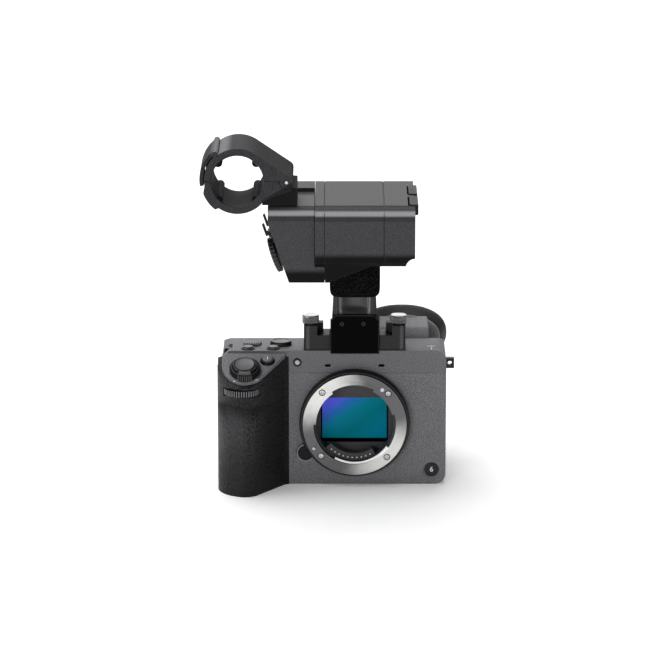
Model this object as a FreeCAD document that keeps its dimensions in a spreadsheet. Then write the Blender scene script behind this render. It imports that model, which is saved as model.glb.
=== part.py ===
"""Compact cinema camera body with a tilting viewfinder, a side grip and a top audio handle.

Units are millimetres.  +Z is up, the lens looks along -Y and the operator's left hand is at +X.
The origin is the mouth of the tripod socket, under the optical axis, in the sensor plane.
"""
import FreeCAD, Part
import math
import os

import Sketcher

Vector = FreeCAD.Vector
Rotation = FreeCAD.Rotation
doc = FreeCAD.newDocument("cinema_camera")


# Sizes: every driving dimension has one cell in the sheet
class Size:
    """A length that carries its present number and the sheet expression it comes from."""

    def __init__(self, number, text):
        self.number = float(number)
        self.text = text

    def join(self, other, sign, number):
        other = as_size(other)
        return Size(number(self.number, other.number), f"({self.text} {sign} {other.text})")

    def __add__(self, other):
        return self.join(other, "+", lambda a, b: a + b)

    def __sub__(self, other):
        return self.join(other, "-", lambda a, b: a - b)

    def __mul__(self, other):
        return self.join(other, "*", lambda a, b: a * b)

    def __truediv__(self, other):
        return self.join(other, "/", lambda a, b: a / b)

    def __radd__(self, other):
        return as_size(other) + self

    def __rsub__(self, other):
        return as_size(other) - self

    def __rmul__(self, other):
        return as_size(other) * self

    def __rtruediv__(self, other):
        return as_size(other) / self

    def __neg__(self):
        return Size(-self.number, f"(-1 * {self.text})")


def as_size(value):
    return value if isinstance(value, Size) else Size(value, repr(float(value)))


def cosine(angle):
    angle = as_size(angle)
    return Size(math.cos(math.radians(angle.number)), f"cos({angle.text})")


def sine(angle):
    angle = as_size(angle)
    return Size(math.sin(math.radians(angle.number)), f"sin({angle.text})")


def tangent(angle):
    return sine(angle) / cosine(angle)


def polar(centre_x, centre_y, radius, angle):
    """The point at a radius and an angle, counted anticlockwise, round a centre."""
    return (centre_x + radius * cosine(angle), centre_y + radius * sine(angle))


class Sheet:
    """The spreadsheet of driving sizes; each name is a cell's alias and an attribute here."""

    def __init__(self, named):
        self.cells = doc.addObject("Spreadsheet::Sheet", "sizes")
        for row, (name, number) in enumerate(named.items(), 1):
            self.cells.set(f"A{row}", name)
            self.cells.set(f"B{row}", str(number))
            self.cells.setAlias(f"B{row}", name)
            setattr(self, name, Size(number, f"sizes.{name}"))
        doc.recompute()


sizes = {
    # general
    "wall": 1.8, "seam_gap": 0.2, "fit_gap": 0.3, "run_fit": 0.05, "big_reach": 60,
    # camera casing
    "right_width": 51.3, "left_width": 46, "rear_left_width": 75, "panel_depth": 12,
    "rear_depth": 38, "split_depth": 19, "body_height": 77.8, "seam_height": 64.8,
    "corner_radius": 6.2, "edge_round": 1.2, "base_margin": 5, "base_right_margin": 9,
    "shoulder_width": 74, "shoulder_cut": 4, "slope_start": 16, "slope_drop": 8,
    # tripod socket
    "socket_radius": 3.175, "socket_outer": 6.5, "socket_collar": 8.5, "socket_deep": 5.5,
    # lens mount
    "mount_height": 36.3, "flange_distance": 18, "ring_thick": 2.8, "ring_radius": 29.1,
    "throat_radius": 23.1, "claw_radius": 21.7, "claw_thick": 1.4, "claw_setback": 0.4, "claw_root": 0.8,
    "surround_radius": 31, "surround_rise": 5, "screw_circle": 26.1, "screw_head": 1.75,
    "screw_start_angle": 44, "claw_one_start": 15, "claw_one_end": 62, "claw_two_start": 124,
    "claw_two_end": 180, "claw_three_start": 240.5, "claw_three_end": 324.7, "boss_bore": 24,
    "lock_circle": 26.6, "lock_angle": 211, "lock_radius": 1.1, "lock_rise": 0.9, "lock_long": 5.5,
    "release_across": 27.5, "release_height": 18.8, "release_radius": 5, "release_rise": 2,
    "release_travel": 2, "release_depth": 4.2,
    # throat and sensor
    "throat_depth": 8.6, "throat_clear": 21.9, "gate_width": 38, "gate_height": 26,
    "gate_thick": 1.2, "contact_radius": 19.8, "contact_inner": 17.6, "contact_outer": 21.6,
    "contact_start": 229, "contact_step": 7.45, "contact_count": 10, "contact_pin": 0.45,
    "contact_rise": 0.5, "contact_block_depth": 5, "image_width": 36.4, "image_height": 24,
    "glass_stack": 2.4, "glass_sink": 0.5, "package_width": 42, "package_height": 30, "package_thick": 2.6,
    "stage_width": 56, "stage_height": 44, "stage_thick": 3.4, "stage_gap": 0.4,
    "stage_rim": 4, "coil_inset": 5.5, "coil_wide": 6, "coil_tall": 20, "coil_round": 2, "coil_deep": 1,
    "shift_travel": 0.8,
    # inside
    "board_width": 76, "board_height": 46, "board_thick": 1.6, "board_depth": 15, "board_low": 8,
    "board_post": 2.2, "plate_share": 0.45, "plate_rise": 0.7, "plate_ahead": 2,
    "chip_wide": 9, "chip_low": 6, "chip_high": 20, "chip_left": 34, "chip_right": 25, "chip_tall": 1.2,
    "board_post_across": 35, "board_post_up": 19, "stage_post": 1.4,
    "stage_post_across": 17.5, "stage_post_up": 19.5, "fan_size": 28, "fan_thick": 7,
    "fan_across": 31, "fan_height": 30, "fan_depth": 28.9, "fan_bore": 12.6, "rotor_radius": 12,
    "hub_radius": 4.5, "blade_thick": 0.9, "blade_count": 9, "fan_wall": 1.2, "fan_pin": 1.2,
    "battery_width": 22.5, "battery_length": 38.5, "battery_height": 51.6, "battery_left": 72.9,
    "battery_front": 22.9, "battery_low": 2.4, "battery_gap": 0.2, "latch_half": 3, "latch_long": 4,
    "latch_run": 2.4, "latch_thick": 1.3,
    # front details
    "key_six_across": 43.4, "key_six_height": 8.4, "key_six_radius": 4, "key_six_dish": 5,
    "dish_depth": 0.6, "key_six_travel": 0.8, "key_gap": 0.15, "lamp_across": 32.1,
    "lamp_height": 71.1, "lamp_radius": 2.45, "lamp_depth": 1, "slot_across": 15,
    "slot_height": 69.2, "slot_width": 3.5, "slot_tall": 1.6,
    # side bays
    "bay_front": 7, "bay_rear": 11, "bay_low": 12, "bay_high": 56, "bay_block": 7,
    "door_thick": 1.7, "socket_wide": 15, "socket_tall": 5.6, "socket_depth": 4, "jack_radius": 1.9,
    "hinge_pin": 0.6, "hinge_reach": 1, "nail_wide": 1.6, "nail_half": 6, "nail_deep": 0.6,
    "card_front": 21.5, "card_rear": 35.5, "card_low": 14, "card_high": 52, "card_slot": 2.6,
    "card_tall": 25, "vent_count": 6, "vent_pitch": 2.6, "vent_wide": 1.3, "vent_low": 14,
    "vent_high": 46, "vent_start": 21.5,
    # hand grip
    "grip_left": 76.4, "grip_crest_across": 62.3, "grip_crest_depth": 37.9, "grip_side_depth": 17,
    "grip_corner": 19, "grip_nose": 9, "flank_top_across": 53.5, "flank_top_depth": 33,
    "flank_end_across": 41.2, "flank_end_depth": 16, "grip_hollow": 9, "grip_end_across": 36.9,
    "skin": 1.4, "deck_height": 76.5, "deck_angle": 24.4, "deck_thick": 1.6, "deck_left": 74,
    "deck_side_depth": 21, "deck_corner": 15, "deck_nose_depth": 35.6, "deck_flank_across": 53,
    "deck_flank_depth": 32.4, "deck_end_across": 38.9, "deck_right_depth": 13.6, "rubber_drop": 2,
    # front dial
    "dial_across": 62.7, "dial_depth": 28.9, "dial_radius": 10, "dial_low": 57.5, "dial_tall": 4.1,
    "dial_pin": 1.4, "dial_pin_long": 1.3, "knurl_depth": 0.5, "front_knurls": 26,
    # grip keys
    "shutter_across": 61, "shutter_depth": 26.2, "shutter_radius": 5.3, "shutter_rise": 5,
    "shutter_sink": 3, "shutter_travel": 1.2, "collar_thick": 1.05, "collar_rise": 4.2,
    "lever_radius": 8.7, "rim_bevel": 0.6, "fine_bevel": 0.4, "lever_rise": 3, "lever_tab": 11.4,
    "lever_tab_half": 19,
    "key_one_across": 48.6, "key_one_depth": 18.5, "key_one_radius": 2.9, "key_one_rise": 2,
    "key_one_sink": 1.5, "key_one_travel": 0.8, "key_collar": 0.5, "key_collar_rise": 1,
    # top controls
    "key_left_across": 59.7, "key_right_across": 45.6, "key_depth": 7.4, "key_radius": 2.7,
    "key_base": 3.6, "key_base_rise": 0.7, "key_rise": 0.9, "key_sink": 2.6, "key_travel": 0.7,
    "mode_across": 41.4, "mode_depth": 1.7, "mode_radius": 6.1, "mode_rise": 2.4, "mode_face": 5.4,
    "rear_dial_across": 57.5, "rear_dial_depth": 2, "rear_dial_radius": 5.4, "rear_dial_rise": 1.9,
    "stem_radius": 2, "stem_long": 3, "lift": 0.3,
    # viewfinder
    "finder_across": 28.2, "finder_width": 28, "finder_axis_depth": 27, "finder_axis_height": 70.3,
    "finder_nose": 11.5, "finder_rear": 50, "finder_low": 61.5, "finder_gap": 0.5,
    "finder_bevel": 0.8, "cheek": 1.8, "finder_pin": 2, "cup_rim": 59, "cup_rear": 63.5,
    "cup_across": 27.6, "cup_height": 69.5, "cup_wide": 26, "cup_high": 16.4, "cup_end": 11.5,
    "cup_flare": 5, "cup_lip": 2.4, "eye_height": 71, "eye_width": 22, "eye_tall": 14,
    "eye_depth": 10, "eye_thick": 3, "eye_corner": 4, "finder_step": 3,
    # screen
    "screen_left": 35, "screen_right": 41.6, "screen_low": 4.8, "screen_high": 52.3,
    "screen_thick": 6.6, "screen_gap": 0.4, "arm_right": 49, "arm_low": 14, "arm_high": 43,
    "arm_pin": 1.2, "arm_pin_long": 2, "ear_tall": 3.4, "screen_lip": 0.8, "screen_border": 4.5,
    "screen_corner": 2.5,
    # rear wheel
    "wheel_across": 57.5, "wheel_height": 30, "wheel_radius": 12, "wheel_hub": 5.5,
    "wheel_rise": 2.2,
    # accessory shoe
    "shoe_width": 24, "shoe_front": 6, "shoe_rear": 14, "shoe_sink": 4.2, "shoe_slot": 18.8,
    "shoe_mouth": 12.6, "shoe_floor": 1, "shoe_slot_tall": 2.1, "tongue_gap": 0.2,
    # handle foot
    "post_outer": 28.4, "post_inner": 21, "post_height": 14.2, "post_rear": 1, "foot_front": 11.9,
    "foot_rear": 3.3, "beam_height": 8.8, "foot_floor": 2.5, "neck_half": 13.5, "ledge_half": 17.5,
    "ledge_front": 4.5, "thumb_across": 24.6, "thumb_depth": 6, "thumb_radius": 4.75,
    "thumb_tall": 4.7, "thumb_shank": 2, "thumb_reach": 5, "thumb_lift": 0.4, "thread_boss": 4,
    "post_round": 1,
    # handle neck
    "plate_low": 76.3, "plate_high": 98.5, "plate_thick": 1.3, "plate_cut": 3.2, "neck_front": 12,
    "neck_rear": 6, "neck_top_half": 11.8, "neck_top_front": 9.5, "neck_top_rear": 8,
    "scoop_half": 7.5, "scoop_depth": 1.6, "scoop_low": 100, "scoop_round": 3,
    # handle bar
    "chin_half": 14, "chin_front": 21.5, "chin_low": 110.3, "chin_rear": 13, "bar_low": 127,
    "bar_high": 150.2, "bar_rear": 92, "bar_round": 5, "chin_round": 3.4, "palm_rise": 2,
    "web_rear": 30, "tail_round": 8, "stud_depth": 80, "stud_radius": 3.175, "stud_deep": 8,
    # audio unit
    "case_front": 60, "case_rear": 6, "case_low": 137.3, "case_high": 170.8, "case_right": 32.4,
    "case_step": 21.9, "corner_drop": 4.7, "corner_run": 4.9, "case_round": 4.5,
    "left_setback": 1.8, "left_top": 47.45, "left_low": 128.3, "slant_high": 161,
    "slant_angle": 19.2, "pocket_front": 55.5, "pocket_rear": 12, "pocket_depth": 2.2,
    "seam_one": 16.7, "seam_two": 15.6, "seam_cut": 0.4, "wedge_left": 14.4, "wedge_right": 8,
    "wedge_gap": 3, "input_front": 43, "input_rear": 16, "input_height": 153.5,
    "input_radius": 11.4, "input_long": 22, "input_face": 1.2, "plug_radius": 3.25, "plug_long": 18,
    "pin_hole": 1.2, "pin_circle": 7, "pin_deep": 8, "tab_half": 11, "tab_low": 165.5,
    "tab_high": 171.4, "tab_rise": 1.7, "tab_travel": 0.7, "tab_shift": 2.5, "tab_sink": 3,
    "gain_front": 43, "gain_rear": 19, "gain_down": 20.6, "gain_radius": 9.8, "gain_rise": 5.3,
    "gain_waist": 7.2, "gain_low": 1.8, "gain_edge": 4.5, "gain_crown": 6, "gain_stem": 4,
    "switch_long": 4, "switch_down": 2.4, "switch_foot": 7, "switch_end": 9, "switch_under": 3.3,
    "switch_rise": 4.4, "switch_travel": 3, "switch_sink": 1.2,
    # microphone clamp
    "ring_across": 63.7, "ring_height": 184.8, "ring_front": 60, "ring_rear": 19,
    "ring_inner": 14.1, "ring_outer": 17.9, "hinge_across": 37.2, "hinge_height": 184.2,
    "ear_radius": 3.5, "ear_gap": 0.35, "clamp_pin": 1.1, "knuckle_in": 9.7, "tangent_angle": 58,
    "rib_radius": 2.4, "rib_circle": 14.6, "foot_right": 31.5, "foot_top": 180.5,
    "saddle_front": 54.5, "foot_ahead": 57, "foot_left": 50.4, "neck_left": 45.4, "neck_low": 176,
    "neck_right": 34.4, "neck_high": 179.8, "saddle_rear": 24.5, "foot_rise": 0.3, "foot_sink": 1.5,
    "saddle_angle": 40, "saddle_left": 46.5, "lever_inner": 18.5, "lever_outer": 20.6,
    "lever_end": 190, "lever_pivot": 19, "lever_angle": 129, "lever_hub": 1.6, "lever_pin": 0.8,
    "lever_in": 4.7, "tail_start": 200, "tail_end": 238, "tail_outer": 19.6, "tail_taper": 6,
    # strap lugs
    "lug_low": 64.9, "lug_high": 70.7, "lug_reach": 4.7, "lug_thick": 3.6, "lug_hole": 1.3,
    "shoulder_notch": 5.5, "notch_front": 7, "notch_rear": 3, "notch_drop": 5.5, "tiny_lug": 3.6,
}
s = Sheet(sizes)

front = -s.panel_depth
rear = s.rear_depth
right = s.right_width
left = -s.left_width
top = s.body_height
flange = -s.flange_distance


# Building blocks: outlines, bodies and primitives bound to the sheet
def bind(thing, path, value):
    """Sets a property of an object to a size, as an expression where the size has one."""
    value = as_size(value)
    thing.setExpression(path, value.text)


def place(thing, centre=(0, 0, 0), axis=Vector(0, 0, 1), angle=0.0):
    """Gives an object its placement: a fixed turn, and a position bound to the sheet."""
    angle = as_size(angle)
    spots = [as_size(value) for value in centre]
    thing.Placement = FreeCAD.Placement(
        Vector(*[spot.number for spot in spots]), Rotation(axis, angle.number))
    for name, spot in zip("xyz", spots):
        bind(thing, f"Placement.Base.{name}", spot)
    if "sizes." in angle.text:
        bind(thing, "Placement.Rotation.Angle", angle)


FORWARD = dict(axis=Vector(1, 0, 0), angle=90.0)
RIGHTWARD = dict(axis=Vector(0, 1, 0), angle=90.0)
BACKWARD = dict(axis=Vector(1, 0, 0), angle=-90.0)
DECK = dict(axis=Vector(1, 0, 0), angle=s.deck_angle)


def circle(across, up, radius):
    return ("circle", as_size(across), as_size(up), as_size(radius))


def rectangle(low_u, high_u, low_v, high_v):
    return [(low_u, low_v), (high_u, low_v), (high_u, high_v), (low_u, high_v)]


def square(centre_u, centre_v, half):
    return rectangle(centre_u - half, centre_u + half, centre_v - half, centre_v + half)


def oval(centre_u, centre_v, wide, high, end):
    """An oval of four smooth arcs from its half width, half height and end radius."""
    top_radius = (wide * wide + high * high - 2 * wide * end) / (2 * (high - end))
    share = end / (top_radius - end)
    reach_u = (wide - end) * (1 + share)
    reach_v = (top_radius - high) * share
    return [
        (centre_u + reach_u, centre_v - reach_v, top_radius, 1),
        (centre_u + reach_u, centre_v + reach_v, end, 1),
        (centre_u - reach_u, centre_v + reach_v, top_radius, 1),
        (centre_u - reach_u, centre_v - reach_v, end, 1)]


def rounded(centre_u, centre_v, width, tall, radius):
    """A rectangle with four rounded corners, as eight points."""
    wide = width / 2
    high = tall / 2
    return [
        (centre_u - wide + radius, centre_v - high), (centre_u + wide - radius, centre_v - high),
        (centre_u + wide, centre_v - high + radius, radius, 1),
        (centre_u + wide, centre_v + high - radius),
        (centre_u + wide - radius, centre_v + high, radius, 1),
        (centre_u - wide + radius, centre_v + high),
        (centre_u - wide, centre_v + high - radius, radius, 1),
        (centre_u - wide, centre_v - high + radius),
        (centre_u - wide + radius, centre_v - high, radius, 1)]


def closed(points):
    """Drops a last point that only repeats the first, and moves its arc to the first point."""
    first, last = points[0], points[-1]
    same = all(abs(as_size(a).number - as_size(b).number) < 1e-9 for a, b in zip(first[:2], last[:2]))
    if not same:
        return points
    return [(first[0], first[1]) + tuple(last[2:])] + points[1:-1]


def arc_edge(begin, end, radius, turn):
    """An arc of less than half a circle between two points; turn is 1 for anticlockwise."""
    middle = (begin + end) * 0.5
    chord = end - begin
    rise = math.sqrt(max(radius * radius - chord.Length ** 2 / 4, 0.0))
    side = Vector(-chord.y, chord.x, 0).normalize() * (rise * turn)
    centre = middle + side
    angles = [math.atan2(point.y - centre.y, point.x - centre.x) for point in (begin, end)]
    if turn < 0:
        angles.reverse()
    if angles[1] < angles[0]:
        angles[1] += 2 * math.pi
    return Part.ArcOfCircle(Part.Circle(centre, Vector(0, 0, 1), radius), *angles)


def draw(sketch, shapes):
    """Draws circles and closed outlines; each point and radius is a bound dimension."""
    for shape in shapes:
        if shape[0] == "circle":
            draw_circle(sketch, *shape[1:])
        else:
            draw_outline(sketch, closed(shape))


def dimension(sketch, kind, value, *places):
    index = sketch.addConstraint(Sketcher.Constraint(kind, *places, value.number))
    bind(sketch, f"Constraints[{index}]", value)


def draw_circle(sketch, across, up, radius):
    centre = Vector(across.number, up.number, 0)
    index = sketch.addGeometry(Part.Circle(centre, Vector(0, 0, 1), radius.number))
    dimension(sketch, "Radius", radius, index)
    dimension(sketch, "DistanceX", across, -1, 1, index, 3)
    dimension(sketch, "DistanceY", up, -1, 1, index, 3)


def draw_outline(sketch, points):
    spots = [(as_size(point[0]), as_size(point[1])) for point in points]
    vectors = [Vector(u.number, v.number, 0) for u, v in spots]
    ends = []
    for number in range(len(points)):
        following = (number + 1) % len(points)
        target = points[following]
        if len(target) == 2:
            index = sketch.addGeometry(Part.LineSegment(vectors[number], vectors[following]))
            ends.append((index, 1, 2))
        else:
            radius, turn = as_size(target[2]), target[3]
            arc = arc_edge(vectors[number], vectors[following], radius.number, turn)
            index = sketch.addGeometry(arc)
            ends.append((index, 1, 2) if turn > 0 else (index, 2, 1))
            dimension(sketch, "Radius", radius, index)
    for number, (index, begin, _) in enumerate(ends):
        before, _, end = ends[number - 1]
        sketch.addConstraint(Sketcher.Constraint("Coincident", before, end, index, begin))
        dimension(sketch, "DistanceX", spots[number][0], -1, 1, index, begin)
        dimension(sketch, "DistanceY", spots[number][1], -1, 1, index, begin)


class Piece:
    """A body built feature by feature on its own origin planes."""

    def __init__(self, label, centre=(0, 0, 0), **turned):
        self.label = label
        self.body = doc.addObject("PartDesign::Body", label)
        self.body.Label = label
        place(self.body, centre, **turned)
        self.last = None

    def sketch(self, plane, shapes, offset):
        sketch = self.body.newObject("Sketcher::SketchObject", f"{self.label}_sketch")
        support = [item for item in self.body.Origin.OriginFeatures if item.Role == f"{plane}_Plane"]
        sketch.AttachmentSupport = (support[0], [""])
        sketch.MapMode = "FlatFace"
        bind(sketch, "AttachmentOffset.Base.z", offset)
        draw(sketch, shapes)
        return sketch

    def add(self, kind, sketch):
        feature = self.body.newObject(f"PartDesign::{kind}", f"{self.label}_{kind.lower()}")
        feature.Profile = sketch
        self.last = feature
        return feature

    def pad(self, plane, shapes, low, high):
        """Adds the outlines between two planes, given as coordinates along the plane's axis."""
        low, high = as_size(low), as_size(high)
        offset = -high if plane == "XZ" else low
        feature = self.add("Pad", self.sketch(plane, shapes, offset))
        bind(feature, "Length", high - low)
        return feature

    def pocket(self, plane, shapes, low, high):
        """Removes the outlines between two planes, given as coordinates along the plane's axis."""
        low, high = as_size(low), as_size(high)
        offset = -low if plane == "XZ" else high
        before = self.last
        feature = self.add("Pocket", self.sketch(plane, shapes, offset))
        bind(feature, "Length", high - low)
        cuts.append((before, feature))
        return feature

    def turn(self, points):
        """Revolves an outline of (radius, height) points round the body's own Z axis."""
        sketch = self.sketch("XZ", [points], 0)
        feature = self.add("Revolution", sketch)
        feature.ReferenceAxis = (sketch, ["V_Axis"])
        feature.Angle = 360
        return feature

    def around(self, feature, count):
        """Repeats a feature evenly round the body's own Z axis."""
        pattern = self.body.newObject("PartDesign::PolarPattern", f"{self.label}_pattern")
        pattern.Originals = [feature]
        axis = [item for item in self.body.Origin.OriginFeatures if item.Role == "Z_Axis"]
        pattern.Axis = (axis[0], [""])
        pattern.Angle = 360
        bind(pattern, "Occurrences", count)
        self.body.Tip = pattern
        self.last = pattern
        return pattern

    def knurl(self, radius, low, high, depth, count):
        """Cuts V grooves along the rim of a turned piece."""
        groove = [(radius - depth, 0), (radius + depth, -2 * depth), (radius + depth, 2 * depth)]
        self.around(self.pocket("XY", [groove], low, high), count)

    def soften(self, radius, chosen, kind="Fillet"):
        """Rounds or bevels the edges that a test picks out, and skips none it names."""
        doc.recompute()
        edges = [f"Edge{number + 1}" for number, edge in enumerate(self.last.Shape.Edges) if chosen(edge)]
        feature = self.body.newObject(f"PartDesign::{kind}", f"{self.label}_{kind.lower()}")
        feature.Base = (self.last, edges)
        bind(feature, "Radius" if kind == "Fillet" else "Size", radius)
        self.last = feature
        return feature

    def loft(self, plane, sections, kind="AdditiveLoft"):
        """Joins outlines on parallel planes; each section is (position, outline)."""
        sign = -1 if plane == "XZ" else 1
        sketches = [self.sketch(plane, [outline], sign * as_size(spot)) for spot, outline in sections]
        before = self.last
        feature = self.add(kind, sketches[0])
        feature.Sections = sketches[1:]
        feature.Ruled = True
        if kind == "SubtractiveLoft":
            cuts.append((before, feature))
        return feature


cuts = []
nodes = {}


def keep(name, thing):
    """Names a finished sub-part."""
    thing = thing.body if isinstance(thing, Piece) else thing
    thing.Label = name
    nodes[name] = thing
    return thing


def box(name, spans):
    """A block between two coordinates on each axis."""
    block = doc.addObject("Part::Box", name)
    place(block, [low for low, _ in spans])
    for side, (low, high) in zip(("Length", "Width", "Height"), spans):
        bind(block, side, as_size(high) - as_size(low))
    return block


def rod(name, centre, radius, length, **turned):
    """A cylinder that starts at its centre point and runs along its turned axis."""
    cylinder = doc.addObject("Part::Cylinder", name)
    bind(cylinder, "Radius", radius)
    bind(cylinder, "Height", length)
    place(cylinder, centre, **turned)
    return cylinder


def shape_of(thing):
    return thing.body if isinstance(thing, Piece) else thing


def join(name, *things):
    fusion = doc.addObject("Part::MultiFuse", name)
    fusion.Shapes = [shape_of(thing) for thing in things]
    return fusion


def cut(name, base, *tools):
    result = doc.addObject("Part::Cut", name)
    result.Base = shape_of(base)
    result.Tool = shape_of(tools[0]) if len(tools) == 1 else join(f"{name}_tools", *tools)
    return result


def group(name, *things):
    """Several loose solids that make one named sub-part."""
    compound = doc.addObject("Part::Compound", name)
    compound.Links = [shape_of(thing) for thing in things]
    return compound


def along(edge, axis):
    """True where an edge is a straight line along an axis."""
    if len(edge.Vertexes) != 2 or not isinstance(edge.Curve, Part.Line):
        return False
    direction = edge.tangentAt(edge.FirstParameter)
    return abs(abs(getattr(direction, axis)) - 1) < 1e-6


def level(edge, axis, value, slack=0.01):
    """True where a whole edge lies at one coordinate."""
    box_of = edge.BoundBox
    low, high = getattr(box_of, f"{axis.upper()}Min"), getattr(box_of, f"{axis.upper()}Max")
    return abs(low - as_size(value).number) < slack and abs(high - as_size(value).number) < slack


# Camera casing: a cast front shell, a rear shell, a top cover and a base plate
base_left = left + s.base_margin
base_right = right - s.base_right_margin
base_front = front + s.base_margin
base_rear = rear - s.base_margin
split = s.split_depth
mount_z = s.mount_height
ring_back = flange + s.ring_thick
finder_low_x = s.finder_across - s.finder_width / 2
finder_high_x = s.finder_across + s.finder_width / 2
notch_left = finder_low_x - s.finder_gap
notch_right = finder_high_x + s.finder_gap
notch_front = s.finder_axis_depth - s.finder_nose - s.finder_gap
notch_floor = s.finder_axis_height - s.finder_nose - 2 * s.finder_gap


def section_low(left_x, right_x, inset, high):
    """Front view of the lower casing: square at the left, rounded at the lower right."""
    radius = s.corner_radius
    return [(left_x + inset, inset), (right_x - radius, inset),
            (right_x - inset, radius, radius - inset, 1), (right_x - inset, high),
            (left_x + inset, high)]


def front_casing():
    """Front shell with the mount boss, the key dish and the terminal bay."""
    piece = Piece("front_casing_shell")
    wall = s.wall
    piece.pad("XZ", [section_low(left, right, 0, s.seam_height)], front, split)
    piece.pocket("XZ", [section_low(left, right, wall, s.seam_height + wall)], front + wall, split)
    piece.pad("XZ", [circle(0, mount_z, s.ring_radius)], ring_back, front + wall)
    piece.pocket("XZ", [circle(0, mount_z, s.boss_bore)], ring_back, front + wall)
    piece.pocket("XZ", [circle(-s.release_across, s.release_height, s.release_radius + s.fit_gap)],
                 front, front + wall)
    lock = polar(0, mount_z, s.lock_circle, s.lock_angle)
    piece.pocket("XZ", [circle(*lock, s.lock_radius + s.fit_gap)], ring_back, front + wall)
    key = (s.key_six_across, s.key_six_height)
    piece.pocket("XZ", [circle(*key, s.key_six_dish)], front, front + s.dish_depth)
    piece.pocket("XZ", [circle(*key, s.key_six_radius + s.key_gap)], front, front + wall)
    piece.pocket("XY", [rectangle(base_left, base_right, base_front, split)], 0, wall)
    bay_walls = rectangle(-s.bay_front - wall, s.bay_rear + wall, s.bay_low - wall, s.bay_high + wall)
    piece.pad("YZ", [bay_walls], right - s.bay_block, right - wall / 2)
    door_recess = rectangle(-s.bay_front, s.bay_rear, s.bay_low, s.bay_high)
    piece.pocket("YZ", [door_recess], right - s.door_thick - s.fit_gap, right)
    middle_y = (s.bay_rear - s.bay_front) / 2
    hinge = circle(right - s.door_thick / 2, -s.bay_front + s.fit_gap + s.door_thick / 2,
                   s.hinge_pin + s.run_fit)
    reach = s.hinge_reach + s.fit_gap
    piece.pocket("XY", [hinge], s.bay_low - reach, s.bay_high + reach)
    floor = right - s.door_thick - s.fit_gap
    posts = [square(sign * s.stage_post_across, mount_z + lift * s.stage_post_up, s.stage_post)
             for sign in (-1, 1) for lift in (-1, 1)]
    piece.pad("XZ", posts, front + wall / 2, s.package_thick + s.stage_gap - s.fit_gap)
    board_middle = s.board_low + s.board_height / 2
    posts = [square(sign * s.board_post_across, board_middle + lift * s.board_post_up, s.board_post)
             for sign in (-1, 1) for lift in (-1, 1)]
    piece.pad("XZ", posts, front + wall / 2, s.board_depth)
    step = (s.bay_high - s.bay_low) / 5
    sockets = [rectangle(middle_y - s.socket_tall / 2, middle_y + s.socket_tall / 2,
                         s.bay_low + step / 2, s.bay_low + step / 2 + s.socket_wide)]
    sockets += [circle(middle_y, s.bay_low + step * number, s.jack_radius) for number in (3, 4)]
    piece.pocket("YZ", sockets, floor - s.socket_depth, floor)
    notch = box("front_casing_notch", [(notch_left, notch_right), (notch_front, split + 1),
                                       (notch_floor, s.seam_height + 1)])
    keep("front_casing", cut("front_casing", piece, notch))


def rear_casing():
    """Rear shell across the whole width, with the card bay, air slots and wheel seat."""
    piece = Piece("rear_casing_shell")
    wall = s.wall
    start = split + s.seam_gap
    far_left = -s.rear_left_width
    radius = s.corner_radius

    def outline(inset, high):
        return [(far_left + radius, inset), (right - radius, inset),
                (right - inset, radius, radius - inset, 1), (right - inset, high),
                (far_left + inset, high), (far_left + inset, radius),
                (far_left + radius, inset, radius - inset, 1)]

    piece.pad("XZ", [outline(0, s.seam_height)], start, rear)
    piece.pocket("XZ", [outline(wall, s.seam_height + wall)], start, rear - wall)
    piece.pocket("XY", [rectangle(base_left, base_right, start, base_rear)], 0, wall)
    card = rectangle(s.card_front - wall / 2, s.card_rear + wall / 2, s.card_low - wall, s.card_high + wall)
    piece.pad("YZ", [card], far_left + wall / 2, far_left + s.bay_block)
    piece.pocket("YZ", [rectangle(s.card_front, s.card_rear, s.card_low, s.card_high)],
                 far_left, far_left + s.door_thick + s.fit_gap)
    hinge = circle(far_left + s.door_thick / 2, s.card_rear - s.fit_gap - s.door_thick / 2,
                   s.hinge_pin + s.run_fit)
    reach = s.hinge_reach + s.fit_gap
    piece.pocket("XY", [hinge], s.card_low - reach, s.card_high + reach)
    slot_z = (s.card_low + s.card_high) / 2
    slots = []
    for number in (1, 2):
        middle = s.card_front + (s.card_rear - s.card_front) * number / 3
        slots.append(rectangle(middle - s.card_slot / 2, middle + s.card_slot / 2,
                               slot_z - s.card_tall / 2, slot_z + s.card_tall / 2))
    piece.pocket("YZ", slots, far_left + s.door_thick, far_left + s.bay_block)
    vents = []
    for number in range(int(s.vent_count.number)):
        low = s.vent_start + s.vent_pitch * number
        vents.append(rectangle(low, low + s.vent_wide, s.vent_low, s.vent_high))
    piece.pocket("YZ", vents, right - wall, right)
    piece.pocket("XZ", [circle(-s.wheel_across, s.wheel_height, s.stem_radius + s.run_fit)],
                 rear - wall, rear)
    notch = box("rear_casing_notch", [(notch_left, notch_right), (notch_front, rear + 1),
                                      (notch_floor, s.seam_height + 1)])
    ears, hole = screen_ears()
    keep("rear_casing", cut("rear_casing", join("rear_casing_blank", piece, *ears), notch, hole))


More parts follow.
